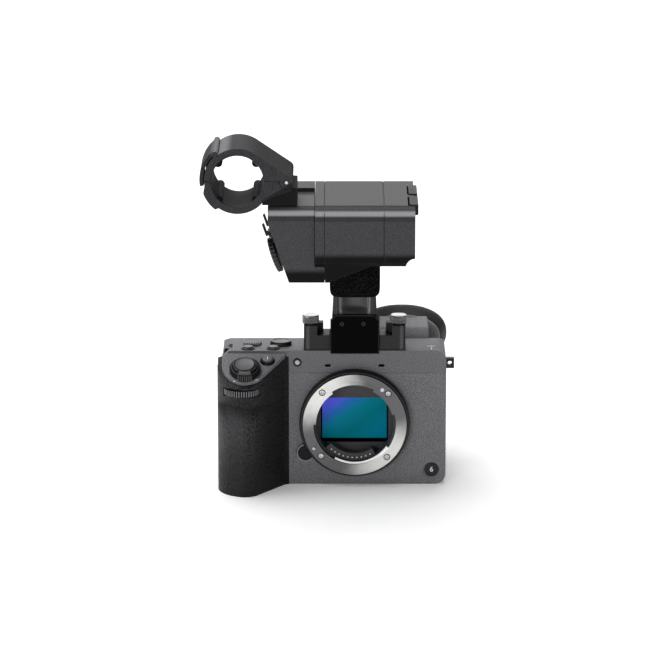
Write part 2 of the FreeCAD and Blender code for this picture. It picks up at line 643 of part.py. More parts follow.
def top_cover():
    """Cover with the shoe recess, microphone slots, key collars and the viewfinder bay."""
    piece = Piece("top_cover_shell")
    wall = s.wall
    low = s.seam_height + s.seam_gap
    radius = s.corner_radius
    end = -s.shoulder_width

    def outline(inset, bottom):
        return [(end + inset, bottom), (right - inset, bottom), (right - inset, top - radius),
                (right - radius, top - inset, radius - inset, 1), (end + s.shoulder_cut, top - inset),
                (end + inset, top - s.shoulder_cut)]

    piece.pad("XZ", [outline(0, low)], front, rear)
    slope = [(s.slope_start, top), (rear, top - s.slope_drop), (rear, top + 1), (s.slope_start, top + 1)]
    piece.pocket("YZ", [slope], end, right)
    piece.pocket("XZ", [outline(wall, low - 1)], front + wall, s.slope_start)
    ceiling = top - s.slope_drop - wall
    piece.pocket("XZ", [rectangle(end + wall, right - wall, low - 1, ceiling)], s.slope_start, rear - wall)
    near, far = notch_front - s.cheek, rear - wall / 2
    drop = s.slope_drop * (far - s.slope_start) / (rear - s.slope_start)
    side = [(near, low), (far, low), (far, top - drop - wall / 2), (s.slope_start, top - wall / 2),
            (near, top - wall / 2)]
    piece.pad("YZ", [side], notch_left - s.cheek, notch_left)
    piece.pad("YZ", [side], notch_right, notch_right + s.cheek)
    posts = [square(sign * s.thumb_across, -s.thumb_depth, s.thread_boss) for sign in (-1, 1)]
    piece.pad("XY", posts, top - wall - s.thumb_reach, top - wall / 2)
    collars = [circle(-across, -s.key_depth, s.key_base) for across in (s.key_left_across, s.key_right_across)]
    piece.pad("XY", collars, top - wall / 2, top + s.key_base_rise)
    holes = [circle(-across, -s.key_depth, s.key_radius + s.key_gap)
             for across in (s.key_left_across, s.key_right_across)]
    piece.pocket("XY", holes, top - wall, top + s.key_base_rise)
    stems = [circle(-s.mode_across, s.mode_depth, s.stem_radius + s.run_fit),
             circle(-s.rear_dial_across, s.rear_dial_depth, s.stem_radius + s.run_fit)]
    piece.pocket("XY", stems, top - wall, top)
    threads = [circle(sign * s.thumb_across, -s.thumb_depth, s.thumb_shank + s.run_fit) for sign in (-1, 1)]
    piece.pocket("XY", threads, top - wall - s.thumb_reach, top)
    shoe = rectangle(-s.shoe_width / 2, s.shoe_width / 2, -s.shoe_front, s.shoe_rear)
    piece.pocket("XY", [shoe], top - wall, top)
    slots = [rounded(sign * s.slot_across, s.slot_height, s.slot_width, s.slot_tall, s.slot_tall / 2.2)
             for sign in (-1, 1)]
    piece.pocket("XZ", slots, front, front + s.lamp_depth)
    piece.pocket("XZ", [circle(-s.lamp_across, s.lamp_height, s.lamp_radius)], front, front + s.lamp_depth)
    piece.pocket("XZ", [circle(0, mount_z, s.ring_radius + s.seam_gap)], front, front + wall)
    bay = box("finder_bay", [(notch_left, notch_right), (notch_front, rear + 1), (low - 1, top + 1)])
    pin_hole = rod("finder_pin_hole", (notch_left - s.cheek - 1, s.finder_axis_depth, s.finder_axis_height),
                   s.finder_pin + s.run_fit, s.finder_width + 2 * (s.finder_gap + s.cheek + 1), **RIGHTWARD)
    notch = box("shoulder_notch", [(end - 1, end + s.shoulder_notch), (-s.notch_front, s.notch_rear),
                                   (top - s.notch_drop, top + 1)])
    keep("top_cover", cut("top_cover", piece, bay, pin_hole, notch))


def bottom_plate():
    """Base plate let into the casing, with the hole for the tripod socket."""
    gap = s.fit_gap / 2
    piece = Piece("bottom_plate")
    outline = rectangle(base_left + gap, base_right - gap, base_front + gap, base_rear - gap)
    piece.pad("XY", [outline], 0, s.wall)
    piece.pocket("XY", [circle(0, 0, s.socket_outer)], 0, s.wall)
    keep("bottom_plate", piece)


def tripod_socket():
    """Quarter-inch threaded insert with a collar that bears on the base plate."""
    piece = Piece("tripod_socket")
    outer = s.socket_outer - s.run_fit
    roof = s.socket_deep + s.wall
    piece.turn([(s.socket_radius, 0), (outer, 0), (outer, s.wall), (s.socket_collar, s.wall),
                (s.socket_collar, roof), (0, roof), (0, s.socket_deep), (s.socket_radius, s.socket_deep)])
    keep("tripod_socket", piece)


# Hand grip: a moulded casing round the battery, a rubber skin and a sloping metal deck
def grip_outline(inset, back):
    """Plan of the grip, inset from its rubber surface: side, nose, flank and hollow."""
    run = s.flank_top_depth - s.flank_end_depth
    reach = s.flank_top_across - s.flank_end_across
    slope = math.degrees(math.atan2(run.number, reach.number))
    flank = Size(slope, f"atan2({run.text}; {reach.text})")
    shift_x = inset * sine(flank)
    shift_y = inset * cosine(flank)
    foot = front - s.fit_gap
    return [(-s.grip_end_across - inset, foot), (-s.grip_end_across - inset, back),
            (-s.grip_left + inset, back), (-s.grip_left + inset, -s.grip_side_depth),
            (-s.grip_crest_across, -s.grip_crest_depth + inset, s.grip_corner - inset, 1),
            (-s.flank_top_across - shift_x, -s.flank_top_depth + shift_y, s.grip_nose - inset, 1),
            (-s.flank_end_across - shift_x, -s.flank_end_depth + shift_y),
            (-s.grip_end_across - inset, foot, s.grip_hollow + inset, -1)]


def deck_height(depth, lift=0.0):
    """Height of the sloping deck, or of a plane a given lift above it, at a depth."""
    return s.deck_height + (as_size(depth) - front) * tangent(s.deck_angle) + lift / cosine(s.deck_angle)


def above_deck(lift, back):
    """Side view of everything above a plane parallel with the deck, with a step for the cover."""
    step = front - s.seam_gap
    far = -s.big_reach
    high = top + s.big_reach
    return [(back + 1, s.seam_height), (back + 1, high), (far, high), (far, deck_height(far, lift)),
            (step, deck_height(step, lift)), (step, s.seam_height)]


def deck_point(across, depth, lift=0.0):
    """A point over the deck, a lift along the deck's normal from a point on its surface."""
    lift = as_size(lift)
    return (across, depth - lift * sine(s.deck_angle),
            deck_height(depth) + lift * cosine(s.deck_angle))


casing_left = left - s.seam_gap
lock_x = -s.battery_left
battery_right = lock_x + s.battery_width
battery_rear = s.battery_length - s.battery_front
shutter_spot = (-s.shutter_across, -s.shutter_depth)
key_one_spot = (-s.key_one_across, -s.key_one_depth)


def grip_cutters(name):
    """The bores for the shutter and the numbered key, square to the deck."""
    under = -s.shutter_sink - s.shutter_travel - 1
    shutter_bore = rod(f"{name}_shutter_bore", deck_point(*shutter_spot, under),
                       s.shutter_radius + s.key_gap, s.big_reach, **DECK)
    key_bore = rod(f"{name}_key_bore", deck_point(*key_one_spot, -s.key_one_sink - s.key_one_travel - 1),
                   s.key_one_radius + s.key_gap, s.big_reach, **DECK)
    return shutter_bore, key_bore


def grip_shell():
    """Hollow grip casing with the battery well, the front dial's slot and the key bores."""
    piece = Piece("grip_shell_blank")
    outline = grip_outline(s.skin, split)
    piece.pad("XY", [outline], 0, top)
    piece.pocket("YZ", [above_deck(-s.deck_thick, split)], -s.grip_left - 1, right)
    behind = rectangle(casing_left, 0, front - s.fit_gap / 2, split + 1)
    piece.pocket("XY", [behind], 0, top)
    gap = s.battery_gap
    well = rectangle(lock_x - gap, battery_right + gap, -s.battery_front - gap, battery_rear + gap)
    piece.pocket("XY", [well], 0, s.battery_low + s.battery_height + gap)
    edge = gap + s.fit_gap * 2
    door = rectangle(lock_x - edge, battery_right + edge, -s.battery_front - edge, battery_rear + edge)
    piece.pocket("XY", [door], 0, s.wall + s.fit_gap)
    dial = (-s.dial_across, -s.dial_depth)
    cavity = circle(*dial, s.dial_radius + s.fit_gap * 1.5)
    piece.pocket("XY", [cavity], s.dial_low - s.fit_gap, s.dial_low + s.dial_tall + s.fit_gap)
    pin = circle(*dial, s.dial_pin + s.run_fit)
    piece.pocket("XY", [pin], s.dial_low - s.dial_pin_long - s.fit_gap,
                 s.dial_low + s.dial_tall + s.dial_pin_long + s.fit_gap)
    half = s.wall / 2
    reach = s.hinge_reach + s.fit_gap
    past = gap + s.fit_gap
    hinge = rod("battery_hinge_hole", (battery_right + past - half, battery_rear + past + reach, half),
                s.hinge_pin + s.run_fit, s.battery_length + 2 * (gap + s.fit_gap + reach), **FORWARD)
    keep("grip_shell", cut("grip_shell", piece, hinge, *grip_cutters("grip_shell")))


def grip_rubber():
    """Moulded rubber skin round the front, side and flank of the grip."""
    piece = Piece("grip_rubber")
    piece.pad("XY", [grip_outline(0.0, split)], 0, top)
    piece.pocket("XY", [grip_outline(s.skin, split + 1)], 0, top)
    piece.pocket("YZ", [above_deck(-s.rubber_drop, split)], -s.grip_left - 1, right)
    behind = rectangle(-s.grip_left + s.skin + 1, 0, front - s.fit_gap / 2, split + 1)
    piece.pocket("XY", [behind], 0, top)
    dial = (-s.dial_across, -s.dial_depth)
    cavity = circle(*dial, s.dial_radius + s.fit_gap * 1.5)
    piece.pocket("XY", [cavity], s.dial_low - s.fit_gap, s.dial_low + s.dial_tall + s.fit_gap)
    keep("grip_rubber", piece)


def grip_deck():
    """Sloping metal plate on the grip, with the collars of its two keys."""
    piece = Piece("grip_deck_plate")
    foot = front - s.fit_gap
    outline = [(-s.deck_end_across, foot), (-s.deck_left, foot), (-s.deck_left, -s.deck_side_depth),
               (-s.grip_crest_across, -s.deck_nose_depth, s.deck_corner, 1),
               (-s.deck_flank_across, -s.deck_flank_depth, s.deck_corner, 1),
               (-s.deck_end_across, -s.deck_right_depth)]
    piece.pad("XY", [outline], s.seam_height - s.big_reach / 4, top)
    piece.pocket("YZ", [above_deck(0.0, 0)], -s.grip_left - 1, right)
    far = -s.big_reach
    under = [(1, 0), (1, deck_height(1, -s.deck_thick)), (far, deck_height(far, -s.deck_thick)), (far, 0)]
    piece.pocket("YZ", [under], -s.grip_left - 1, right)
    collar = rod("shutter_collar", deck_point(*shutter_spot, -s.deck_thick / 2),
                 s.shutter_radius + s.key_gap + s.collar_thick, s.deck_thick / 2 + s.collar_rise, **DECK)
    ring = rod("key_one_collar", deck_point(*key_one_spot, -s.deck_thick / 2),
               s.key_one_radius + s.key_gap + s.key_collar, s.deck_thick / 2 + s.key_collar_rise, **DECK)
    whole = join("grip_deck_blank", piece, collar, ring)
    keep("grip_deck", cut("grip_deck", whole, *grip_cutters("grip_deck")))


def battery():
    """Rechargeable pack that slides up into the grip, with its contact notch."""
    piece = Piece("battery")
    plan = rounded((lock_x + battery_right) / 2, (battery_rear - s.battery_front) / 2,
                   s.battery_width, s.battery_length, 1.5)
    piece.pad("XY", [plan], s.battery_low, s.battery_low + s.battery_height)
    notch = rectangle(lock_x, lock_x + 3, battery_rear - 14, battery_rear - 4)
    piece.pocket("XY", [notch], s.battery_low + s.battery_height - 6, s.battery_low + s.battery_height)
    keep("battery", piece)


def battery_door():
    """Hinged door under the battery, with a slot for its sliding latch."""
    edge = s.battery_gap + s.fit_gap
    piece = Piece("battery_door_leaf")
    half = s.wall / 2
    turn = battery_right + edge - half
    leaf = [(lock_x - edge, 0), (turn, 0), (turn + half, half, half, 1), (turn, s.wall, half, 1),
            (lock_x - edge, s.wall)]
    piece.pad("XZ", [leaf], -s.battery_front - edge, battery_rear + edge)
    middle = (lock_x + battery_right) / 2
    slot = rectangle(middle - s.latch_half - s.key_gap, middle + s.latch_half + s.key_gap,
                     -s.battery_front + 2, -s.battery_front + 2 + s.latch_long + s.latch_run)
    piece.pocket("XY", [slot], 0, s.wall)
    pin = rod("battery_hinge", (turn, battery_rear + edge + s.hinge_reach, half), s.hinge_pin,
              s.battery_length + 2 * (edge + s.hinge_reach), **FORWARD)
    keep("battery_door", join("battery_door", piece, pin))
    latch = Piece("battery_latch")
    blade = rectangle(middle - s.latch_half, middle + s.latch_half, -s.battery_front + 2 + s.key_gap,
                      -s.battery_front + 2 + s.latch_long)
    latch.pad("XY", [blade], (s.wall - s.latch_thick) / 2, (s.wall + s.latch_thick) / 2)
    keep("battery_latch", latch)


# Grip controls: front dial, shutter, zoom lever and the numbered key
def front_dial():
    """Knurled wheel that stands a millimetre out of its slot in the grip."""
    piece = Piece("front_dial", (-s.dial_across, -s.dial_depth, s.dial_low))
    low, high = -s.dial_pin_long, s.dial_tall + s.dial_pin_long
    piece.turn([(0, low), (s.dial_pin, low), (s.dial_pin, 0), (s.dial_radius, 0), (s.dial_radius, s.dial_tall),
                (s.dial_pin, s.dial_tall), (s.dial_pin, high), (0, high)])
    piece.knurl(s.dial_radius, 0, s.dial_tall, s.knurl_depth, s.front_knurls)
    keep("front_dial", piece)


def shutter_button():
    """Dished release disc that sinks along the deck's normal."""
    piece = Piece("shutter_button", deck_point(*shutter_spot), **DECK)
    rise, radius = s.shutter_rise, s.shutter_radius
    piece.turn([(0, -s.shutter_sink), (radius, -s.shutter_sink), (radius, rise - s.lift),
                (radius - s.lift, rise), (0, rise - s.lift)])
    keep("shutter_button", piece)


def zoom_lever():
    """Ring round the shutter collar, with a ribbed tab at its front."""
    piece = Piece("zoom_lever_ring", deck_point(*shutter_spot), **DECK)
    inner = s.shutter_radius + s.key_gap + s.collar_thick + s.key_gap
    low, high = s.lift, s.lift + s.lever_rise
    piece.turn([(inner, low), (s.lever_radius, low), (s.lever_radius, high - s.rim_bevel),
                (s.lever_radius - s.rim_bevel, high), (inner, high)])
    half = s.lever_tab_half
    start, end = -90 - half, -90 + half
    tab = [polar(0, 0, s.lever_radius - 1, start), polar(0, 0, s.lever_tab, start),
           polar(0, 0, s.lever_tab, end) + (s.lever_tab, 1), polar(0, 0, s.lever_radius - 1, end)]
    piece.pad("XY", [tab], low, high + 0.4)
    grooves = []
    for number in range(5):
        angle = start + half * 2 * (number + 0.5) / 5
        grooves.append([polar(0, 0, s.lever_tab - 0.6, angle), polar(0, 0, s.lever_tab + 0.5, angle - 3.4),
                        polar(0, 0, s.lever_tab + 0.5, angle + 3.4)])
    piece.pocket("XY", grooves, low, high + 0.4)
    keep("zoom_lever", piece)


def push_key(name, centre, radius, sink, rise, **turned):
    """A round key with a bevelled rim."""
    piece = Piece(name, centre, **turned)
    piece.turn([(0, -sink), (radius, -sink), (radius, rise - s.fine_bevel),
                (radius - s.fine_bevel, rise), (0, rise)])
    keep(name, piece)


def top_controls():
    """Two keys in collars, the mode dial and the rear dial on the top cover."""
    for name, across in (("top_key_left", s.key_left_across), ("top_key_right", s.key_right_across)):
        push_key(name, (-across, -s.key_depth, top), s.key_radius, s.key_sink, s.key_rise + s.key_base_rise)
    mode = Piece("mode_dial", (-s.mode_across, s.mode_depth, top))
    rim = s.mode_rise
    mode.turn([(0, -s.stem_long), (s.stem_radius, -s.stem_long), (s.stem_radius, s.lift),
               (s.mode_radius, s.lift), (s.mode_radius, rim - 0.5), (s.mode_face, rim), (0, rim)])
    keep("mode_dial", mode)
    dial = Piece("rear_dial", (-s.rear_dial_across, s.rear_dial_depth, top))
    high = s.rear_dial_rise
    dial.turn([(0, -s.stem_long), (s.stem_radius, -s.stem_long), (s.stem_radius, s.lift),
               (s.rear_dial_radius, s.lift), (s.rear_dial_radius, high - s.fine_bevel),
               (s.rear_dial_radius - s.fine_bevel, high), (0, high)])
    keep("rear_dial", dial)


# Lens mount: steel ring with three claws, screws, surround, lock pin and release key
def lens_mount_ring():
    """Flange ring whose three claws hold the lens; its bores pass the screws and the lock pin."""
    piece = Piece("lens_mount_ring", (0, flange, mount_z), **FORWARD)
    depth = s.ring_thick
    piece.turn([(s.throat_radius, -depth), (s.ring_radius, -depth), (s.ring_radius, 0), (s.throat_radius, 0)])
    claws = ((s.claw_one_start, s.claw_one_end), (s.claw_two_start, s.claw_two_end),
             (s.claw_three_start, s.claw_three_end))
    root = s.throat_radius + s.claw_root
    low = -s.claw_setback - s.claw_thick
    for start, end in claws:
        claw = [polar(0, 0, s.claw_radius, start), polar(0, 0, root, start),
                polar(0, 0, root, end) + (root, 1),
                polar(0, 0, s.claw_radius, end)]
        claw[0] = claw[0] + (s.claw_radius, -1)
        piece.pad("XY", [claw], low, -s.claw_setback)
    heads = [circle(*polar(0, 0, s.screw_circle, s.screw_start_angle + 90 * number), s.screw_head + s.key_gap)
             for number in range(4)]
    piece.pocket("XY", heads, -s.claw_thick, 0)
    lock = polar(0, 0, s.lock_circle, s.lock_angle)
    piece.pocket("XY", [circle(*lock, s.lock_radius + s.run_fit)], -depth, 0)
    keep("lens_mount_ring", piece)


def mount_screws():
    """Heads of the four flat screws that hold the mount ring on its boss."""
    screws = []
    for number in range(4):
        across, up = polar(0, mount_z, s.screw_circle, s.screw_start_angle + 90 * number)
        screws.append(rod(f"screw_head_{number}", (across, flange + s.claw_thick, up), s.screw_head,
                          s.claw_thick - s.run_fit * 2, **FORWARD))
    keep("mount_screws", group("mount_screws", *screws))


def mount_surround():
    """Black tapered trim ring between the front panel and the mount ring."""
    piece = Piece("mount_surround_ring", (0, front, mount_z), **FORWARD)
    inner = s.ring_radius + s.fit_gap
    piece.turn([(inner, 0), (s.surround_radius, 0), (s.surround_radius, s.surround_rise * 0.6),
                (s.surround_radius - 0.7, s.surround_rise), (inner, s.surround_rise)])
    keep("mount_surround", piece)


def lens_lock():
    """Lock pin through the mount ring and the half-moon key that draws it back."""
    across, up = polar(0, mount_z, s.lock_circle, s.lock_angle)
    pin = Piece("lens_lock_pin", (across, flange, up), **FORWARD)
    rise = s.lock_rise
    pin.turn([(0, rise - s.lock_long), (s.lock_radius, rise - s.lock_long), (s.lock_radius, rise - 0.3),
              (s.lock_radius - 0.3, rise), (0, rise)])
    keep("lens_lock_pin", pin)
    key = rod("release_disc", (-s.release_across, front - s.release_rise + s.release_depth, s.release_height),
              s.release_radius, s.release_depth, **FORWARD)
    clear = rod("release_clearance", (0, front + s.big_reach / 2, mount_z), s.surround_radius + s.fit_gap,
                s.big_reach, **FORWARD)
    keep("lens_release_button", cut("lens_release_button", key, clear))


def throat_frame():
    """Matt black baffle behind the mount, with its picture gate."""
    piece = Piece("throat_frame")
    start = ring_back + 0.2
    end = start + s.throat_depth
    outer = s.boss_bore - s.fit_gap
    piece.pad("XZ", [circle(0, mount_z, outer)], start, end)
    piece.pocket("XZ", [circle(0, mount_z, s.throat_clear)], start, end - s.gate_thick)
    gate = rounded(as_size(0), mount_z, s.gate_width, s.gate_height, s.gate_thick)
    piece.pocket("XZ", [gate], end - s.gate_thick, end)
    keep("throat_frame", piece)


def lens_contacts():
    """Curved contact block in the throat and its row of gilt pins."""
    block = Piece("contact_block")
    start = ring_back + s.seam_gap + s.fit_gap
    low = s.contact_start - s.contact_step
    high = s.contact_start + s.contact_step * s.contact_count
    middle = (low + high) / 2
    outer, inner = s.contact_outer, s.contact_inner
    outline = [polar(0, mount_z, inner, low), polar(0, mount_z, outer, low),
               polar(0, mount_z, outer, middle) + (outer, 1), polar(0, mount_z, outer, high) + (outer, 1),
               polar(0, mount_z, inner, high), polar(0, mount_z, inner, middle) + (inner, -1)]
    outline[0] = outline[0] + (inner, -1)
    block.pad("XZ", [outline], start, start + s.contact_block_depth)
    pins = []
    for number in range(int(s.contact_count.number)):
        across, up = polar(0, mount_z, s.contact_radius, s.contact_start + s.contact_step * number)
        pin = doc.addObject("Part::Prism", f"contact_pin_{number}")
        bind(pin, "Circumradius", s.contact_pin)
        bind(pin, "Height", s.contact_rise)
        place(pin, (across, start, up), **FORWARD)
        pins.append(pin)
    keep("contact_block", block)
    keep("contact_pins", group("contact_pins", *pins))


# Image sensor on its moving stage, board, fan
def image_sensor():
    """Sensor package with its stepped glass stack, and the stage that shifts it."""
    piece = Piece("image_sensor")
    centre = (as_size(0), mount_z)
    piece.pad("XZ", [rounded(*centre, s.package_width, s.package_height, s.wall)], 0, s.package_thick)
    glass = rounded(*centre, s.image_width, s.image_height, s.seam_gap)
    piece.pad("XZ", [glass], -s.glass_stack, s.glass_sink)
    keep("image_sensor", piece)
    stage = Piece("sensor_stage")
    start = s.package_thick + s.stage_gap
    stage.pad("XZ", [rounded(*centre, s.stage_width, s.stage_height, s.corner_radius)],
              start, start + s.stage_thick)
    opening = rounded(*centre, s.package_width - 2 * s.stage_rim, s.package_height - 2 * s.stage_rim, s.wall)
    stage.pocket("XZ", [opening], start, start + s.stage_thick)
    coils = [rounded(sign * (s.stage_width / 2 - s.coil_inset), mount_z, s.coil_wide, s.coil_tall,
                     s.coil_round) for sign in (-1, 1)]
    stage.pocket("XZ", coils, start + s.stage_thick - s.coil_deep, start + s.stage_thick)
    keep("sensor_stage", stage)


def main_board():
    """Circuit board behind the sensor, with its heat plate."""
    piece = Piece("main_board")
    low = s.board_low
    plan = rectangle(-s.board_width / 2, s.board_width / 2, low, low + s.board_height)
    start = s.board_depth
    piece.pad("XZ", [plan], start, start + s.board_thick)
    plate = rounded(as_size(0), low + s.board_height / 2, s.board_width * s.plate_share,
                    s.board_height * s.plate_rise, s.wall)
    piece.pad("XZ", [plate], start - s.plate_ahead, start + s.board_thick / 2)
    chips = [rectangle(edge, edge + s.chip_wide, low + s.chip_low, low + s.chip_high)
             for edge in (-s.chip_left, s.chip_right)]
    piece.pad("XZ", chips, start + s.board_thick / 2, start + s.board_thick + s.chip_tall)
    keep("main_board", piece)


def cooling_fan():
    """Open-faced blower housing and the bladed rotor on its pin."""
    centre = (s.fan_across, s.fan_height)
    housing = Piece("fan_housing")
    housing.pad("XZ", [rounded(*centre, s.fan_size, s.fan_size, s.wall)], s.fan_depth,
                s.fan_depth + s.fan_thick)
    housing.pocket("XZ", [circle(*centre, s.fan_bore)], s.fan_depth, s.fan_depth + s.fan_thick - s.fan_wall)
    housing.pocket("XZ", [circle(*centre, s.fan_pin + s.run_fit)], s.fan_depth, s.fan_depth + s.fan_thick)
    side = rectangle(s.fan_across + s.fan_bore / 2, s.fan_across + s.fan_size / 2,
                     s.fan_height - s.fan_bore * 0.7, s.fan_height + s.fan_bore * 0.7)
    housing.pocket("XZ", [side], s.fan_depth + s.fan_wall, s.fan_depth + s.fan_thick - s.fan_wall)
    keep("fan_housing", housing)
    base = s.fan_depth + s.fan_thick - s.fan_wall - s.fit_gap
    rotor = Piece("fan_rotor", (s.fan_across, base, s.fan_height), **FORWARD)
    tall = s.fan_thick - s.fan_wall - 2 * s.fit_gap
    rotor.turn([(0, -s.fan_wall), (s.fan_pin, -s.fan_wall), (s.fan_pin, 0), (s.hub_radius, 0),
                (s.hub_radius, tall), (0, tall)])
    blade = [(s.hub_radius - 0.5, -s.blade_thick / 2), (s.rotor_radius, s.blade_thick),
             (s.rotor_radius, s.blade_thick * 2), (s.hub_radius - 0.5, s.blade_thick / 2)]
    rotor.around(rotor.pad("XY", [blade], 0, tall), s.blade_count)
    keep("fan_rotor", rotor)


# Doors, keys and the wheel on the casing
def hinge_rod(name, edge, low, high):
    """A door's upright pin, which runs into both ends of its bay."""
    return rod(name, (edge[0], edge[1], low - s.hinge_reach), s.hinge_pin, high - low + 2 * s.hinge_reach)


def side_doors():
    """Terminal door on the operator's left side and card door behind the grip."""
    gap = s.fit_gap
    thick = s.door_thick
    terminal = Piece("terminal_door_leaf")
    half = thick / 2
    edge = (right - half, -s.bay_front + gap + half)
    plan = [(right - thick, edge[1]), (edge[0], edge[1] - half, half, 1), (right, edge[1], half, 1),
            (right, s.bay_rear - gap), (right - thick, s.bay_rear - gap)]
    terminal.pad("XY", [plan], s.bay_low + gap, s.bay_high - gap)
    middle = (s.bay_low + s.bay_high) / 2
    grip_step = rectangle(s.bay_rear - gap - s.nail_wide, s.bay_rear - gap, middle - s.nail_half,
                          middle + s.nail_half)
    terminal.pocket("YZ", [grip_step], right - s.nail_deep, right)
    pin = hinge_rod("terminal_hinge", edge, s.bay_low, s.bay_high)
    keep("terminal_door", join("terminal_door", terminal, pin))
    outer = -s.rear_left_width
    card = Piece("card_door_leaf")
    edge = (outer + half, s.card_rear - gap - half)
    plan = [(outer, s.card_front + gap), (outer + thick, s.card_front + gap), (outer + thick, edge[1]),
            (edge[0], edge[1] + half, half, 1), (outer, edge[1], half, 1)]
    card.pad("XY", [plan], s.card_low + gap, s.card_high - gap)
    middle = (s.card_low + s.card_high) / 2
    grip_step = rectangle(s.card_front + gap, s.card_front + gap + s.nail_wide, middle - s.nail_half,
                          middle + s.nail_half)
    card.pad("YZ", [grip_step], outer - s.nail_deep, outer + half)
    keep("card_door", join("card_door", card, hinge_rod("card_hinge", edge, s.card_low, s.card_high)))


def front_button_six():
    """Numbered key low on the front panel, in its dish."""
    centre = (s.key_six_across, front + s.dish_depth, s.key_six_height)
    push_key("front_button_six", centre, s.key_six_radius, s.wall - s.dish_depth - s.fit_gap,
             s.dish_depth + 0.4, **FORWARD)


def control_wheel():
    """Knurled wheel with a sunken middle on the rear face."""
    piece = Piece("control_wheel", (-s.wheel_across, rear, s.wheel_height), **BACKWARD)
    low, high = s.lift, s.lift + s.wheel_rise
    piece.turn([(0, -s.stem_long), (s.stem_radius, -s.stem_long), (s.stem_radius, low), (s.wheel_radius, low),
                (s.wheel_radius, high - 0.5), (s.wheel_radius - 0.5, high), (s.wheel_hub, high),
                (s.wheel_hub, high - s.rim_bevel), (0, high - s.rim_bevel)])
    keep("control_wheel", piece)


def strap_lugs():
    """Loop on the right flank and a small loop in the notch of the left shoulder."""
    middle = (s.lug_low + s.lug_high) / 2
    loop = box("lug_loop", [(right, right + s.lug_reach), (-s.lug_thick / 2, s.lug_thick / 2),
                            (s.lug_low, s.lug_high)])
    eye = rod("lug_eye", (right + s.lug_reach - s.lug_hole - 1.1, s.lug_thick, middle), s.lug_hole,
              2 * s.lug_thick, **FORWARD)
    lug = cut("right_lug", loop, eye)
    end = -s.shoulder_width
    floor = top - s.notch_drop
    low_loop = box("shoulder_loop", [(end + 1, end + s.shoulder_notch - 0.6), (-s.notch_front / 2, 0),
                                     (floor, floor + s.tiny_lug + 1)])
    hole = rod("shoulder_eye", (end + 0.5 + s.shoulder_notch / 2, s.big_reach / 4, floor + 2.6), s.lug_hole,
               s.big_reach, **FORWARD)
    keep("strap_lugs", group("strap_lugs", lug, cut("left_lug", low_loop, hole)))


# Viewfinder: a tilting housing on two pins, its eyepiece and the rubber eyecup
finder_pin_spot = (s.finder_axis_depth, s.finder_axis_height)


def flare_angle(grow, depth):
    """The taper, in degrees, that widens an outline by a given growth over a depth."""
    ratio = grow / depth
    return Size(math.degrees(math.atan(ratio.number)), f"atan({ratio.text})")


def viewfinder():
    """Housing with a round nose on its tilt axis, an eye bore and two pivot pins."""
    piece = Piece("finder_body")
    depth, height = finder_pin_spot
    nose = s.finder_nose
    outline = [(depth, height - nose), (depth + s.finder_step, s.finder_low), (s.finder_rear, s.finder_low),
               (s.finder_rear, height + nose), (depth, height + nose), (depth - nose, height, nose, 1),
               (depth, height - nose, nose, 1)]
    piece.pad("YZ", [outline], finder_low_x, finder_high_x)
    ends = (finder_low_x.number, finder_high_x.number)
    piece.soften(s.finder_bevel, lambda edge: any(level(edge, "x", end) for end in ends), "Chamfer")
    eye = (s.finder_across, s.eye_height)
    bore = rounded(*eye, s.eye_width, s.eye_tall, s.eye_corner)
    piece.pocket("XZ", [bore], s.finder_rear - s.eye_depth, s.finder_rear)
    reach = s.finder_width + 2 * (s.finder_gap + s.cheek)
    pin = rod("finder_pin", (notch_left - s.cheek, depth, height), s.finder_pin, reach, **RIGHTWARD)
    keep("evf_housing", join("evf_housing", piece, pin))
    lens = Piece("eyepiece_lens")
    glass = rounded(*eye, s.eye_width - s.fit_gap, s.eye_tall - s.fit_gap, s.eye_corner)
    start = s.finder_rear - s.eye_depth
    lens.pad("XZ", [glass], start, start + s.eye_thick)
    keep("eyepiece_lens", lens)
    cup = Piece("eyecup")
    centre = (s.cup_across, s.cup_height)
    root, rim = s.finder_rear, s.cup_rim
    wide, high, end, grow = s.cup_wide, s.cup_high, s.cup_end, s.cup_flare
    flare = cup.pad("XZ", [oval(*centre, wide - grow, high - grow, end - grow)], root, rim)
    flare.Reversed = True
    bind(flare.Profile[0], "AttachmentOffset.Base.z", -root)
    bind(flare, "TaperAngle", flare_angle(grow, rim - root))
    cup.pad("XZ", [oval(*centre, wide, high, end)], rim, s.cup_rear)
    lip = s.cup_lip
    depth = s.cup_rear - root
    mouth = cup.pocket("XZ", [oval(*centre, wide - lip, high - lip, end - lip)], root, s.cup_rear)
    mouth.Reversed = True
    bind(mouth.Profile[0], "AttachmentOffset.Base.z", -s.cup_rear)
    bind(mouth, "TaperAngle", -flare_angle(grow, depth))
    keep("eyecup", cup)


# Screen: a side-hinged panel on its arm
screen_near = rear + s.screen_gap
screen_far = screen_near + s.screen_thick
arm_radius = s.screen_thick / 2
arm_axis = (s.arm_right - arm_radius, screen_near + arm_radius)


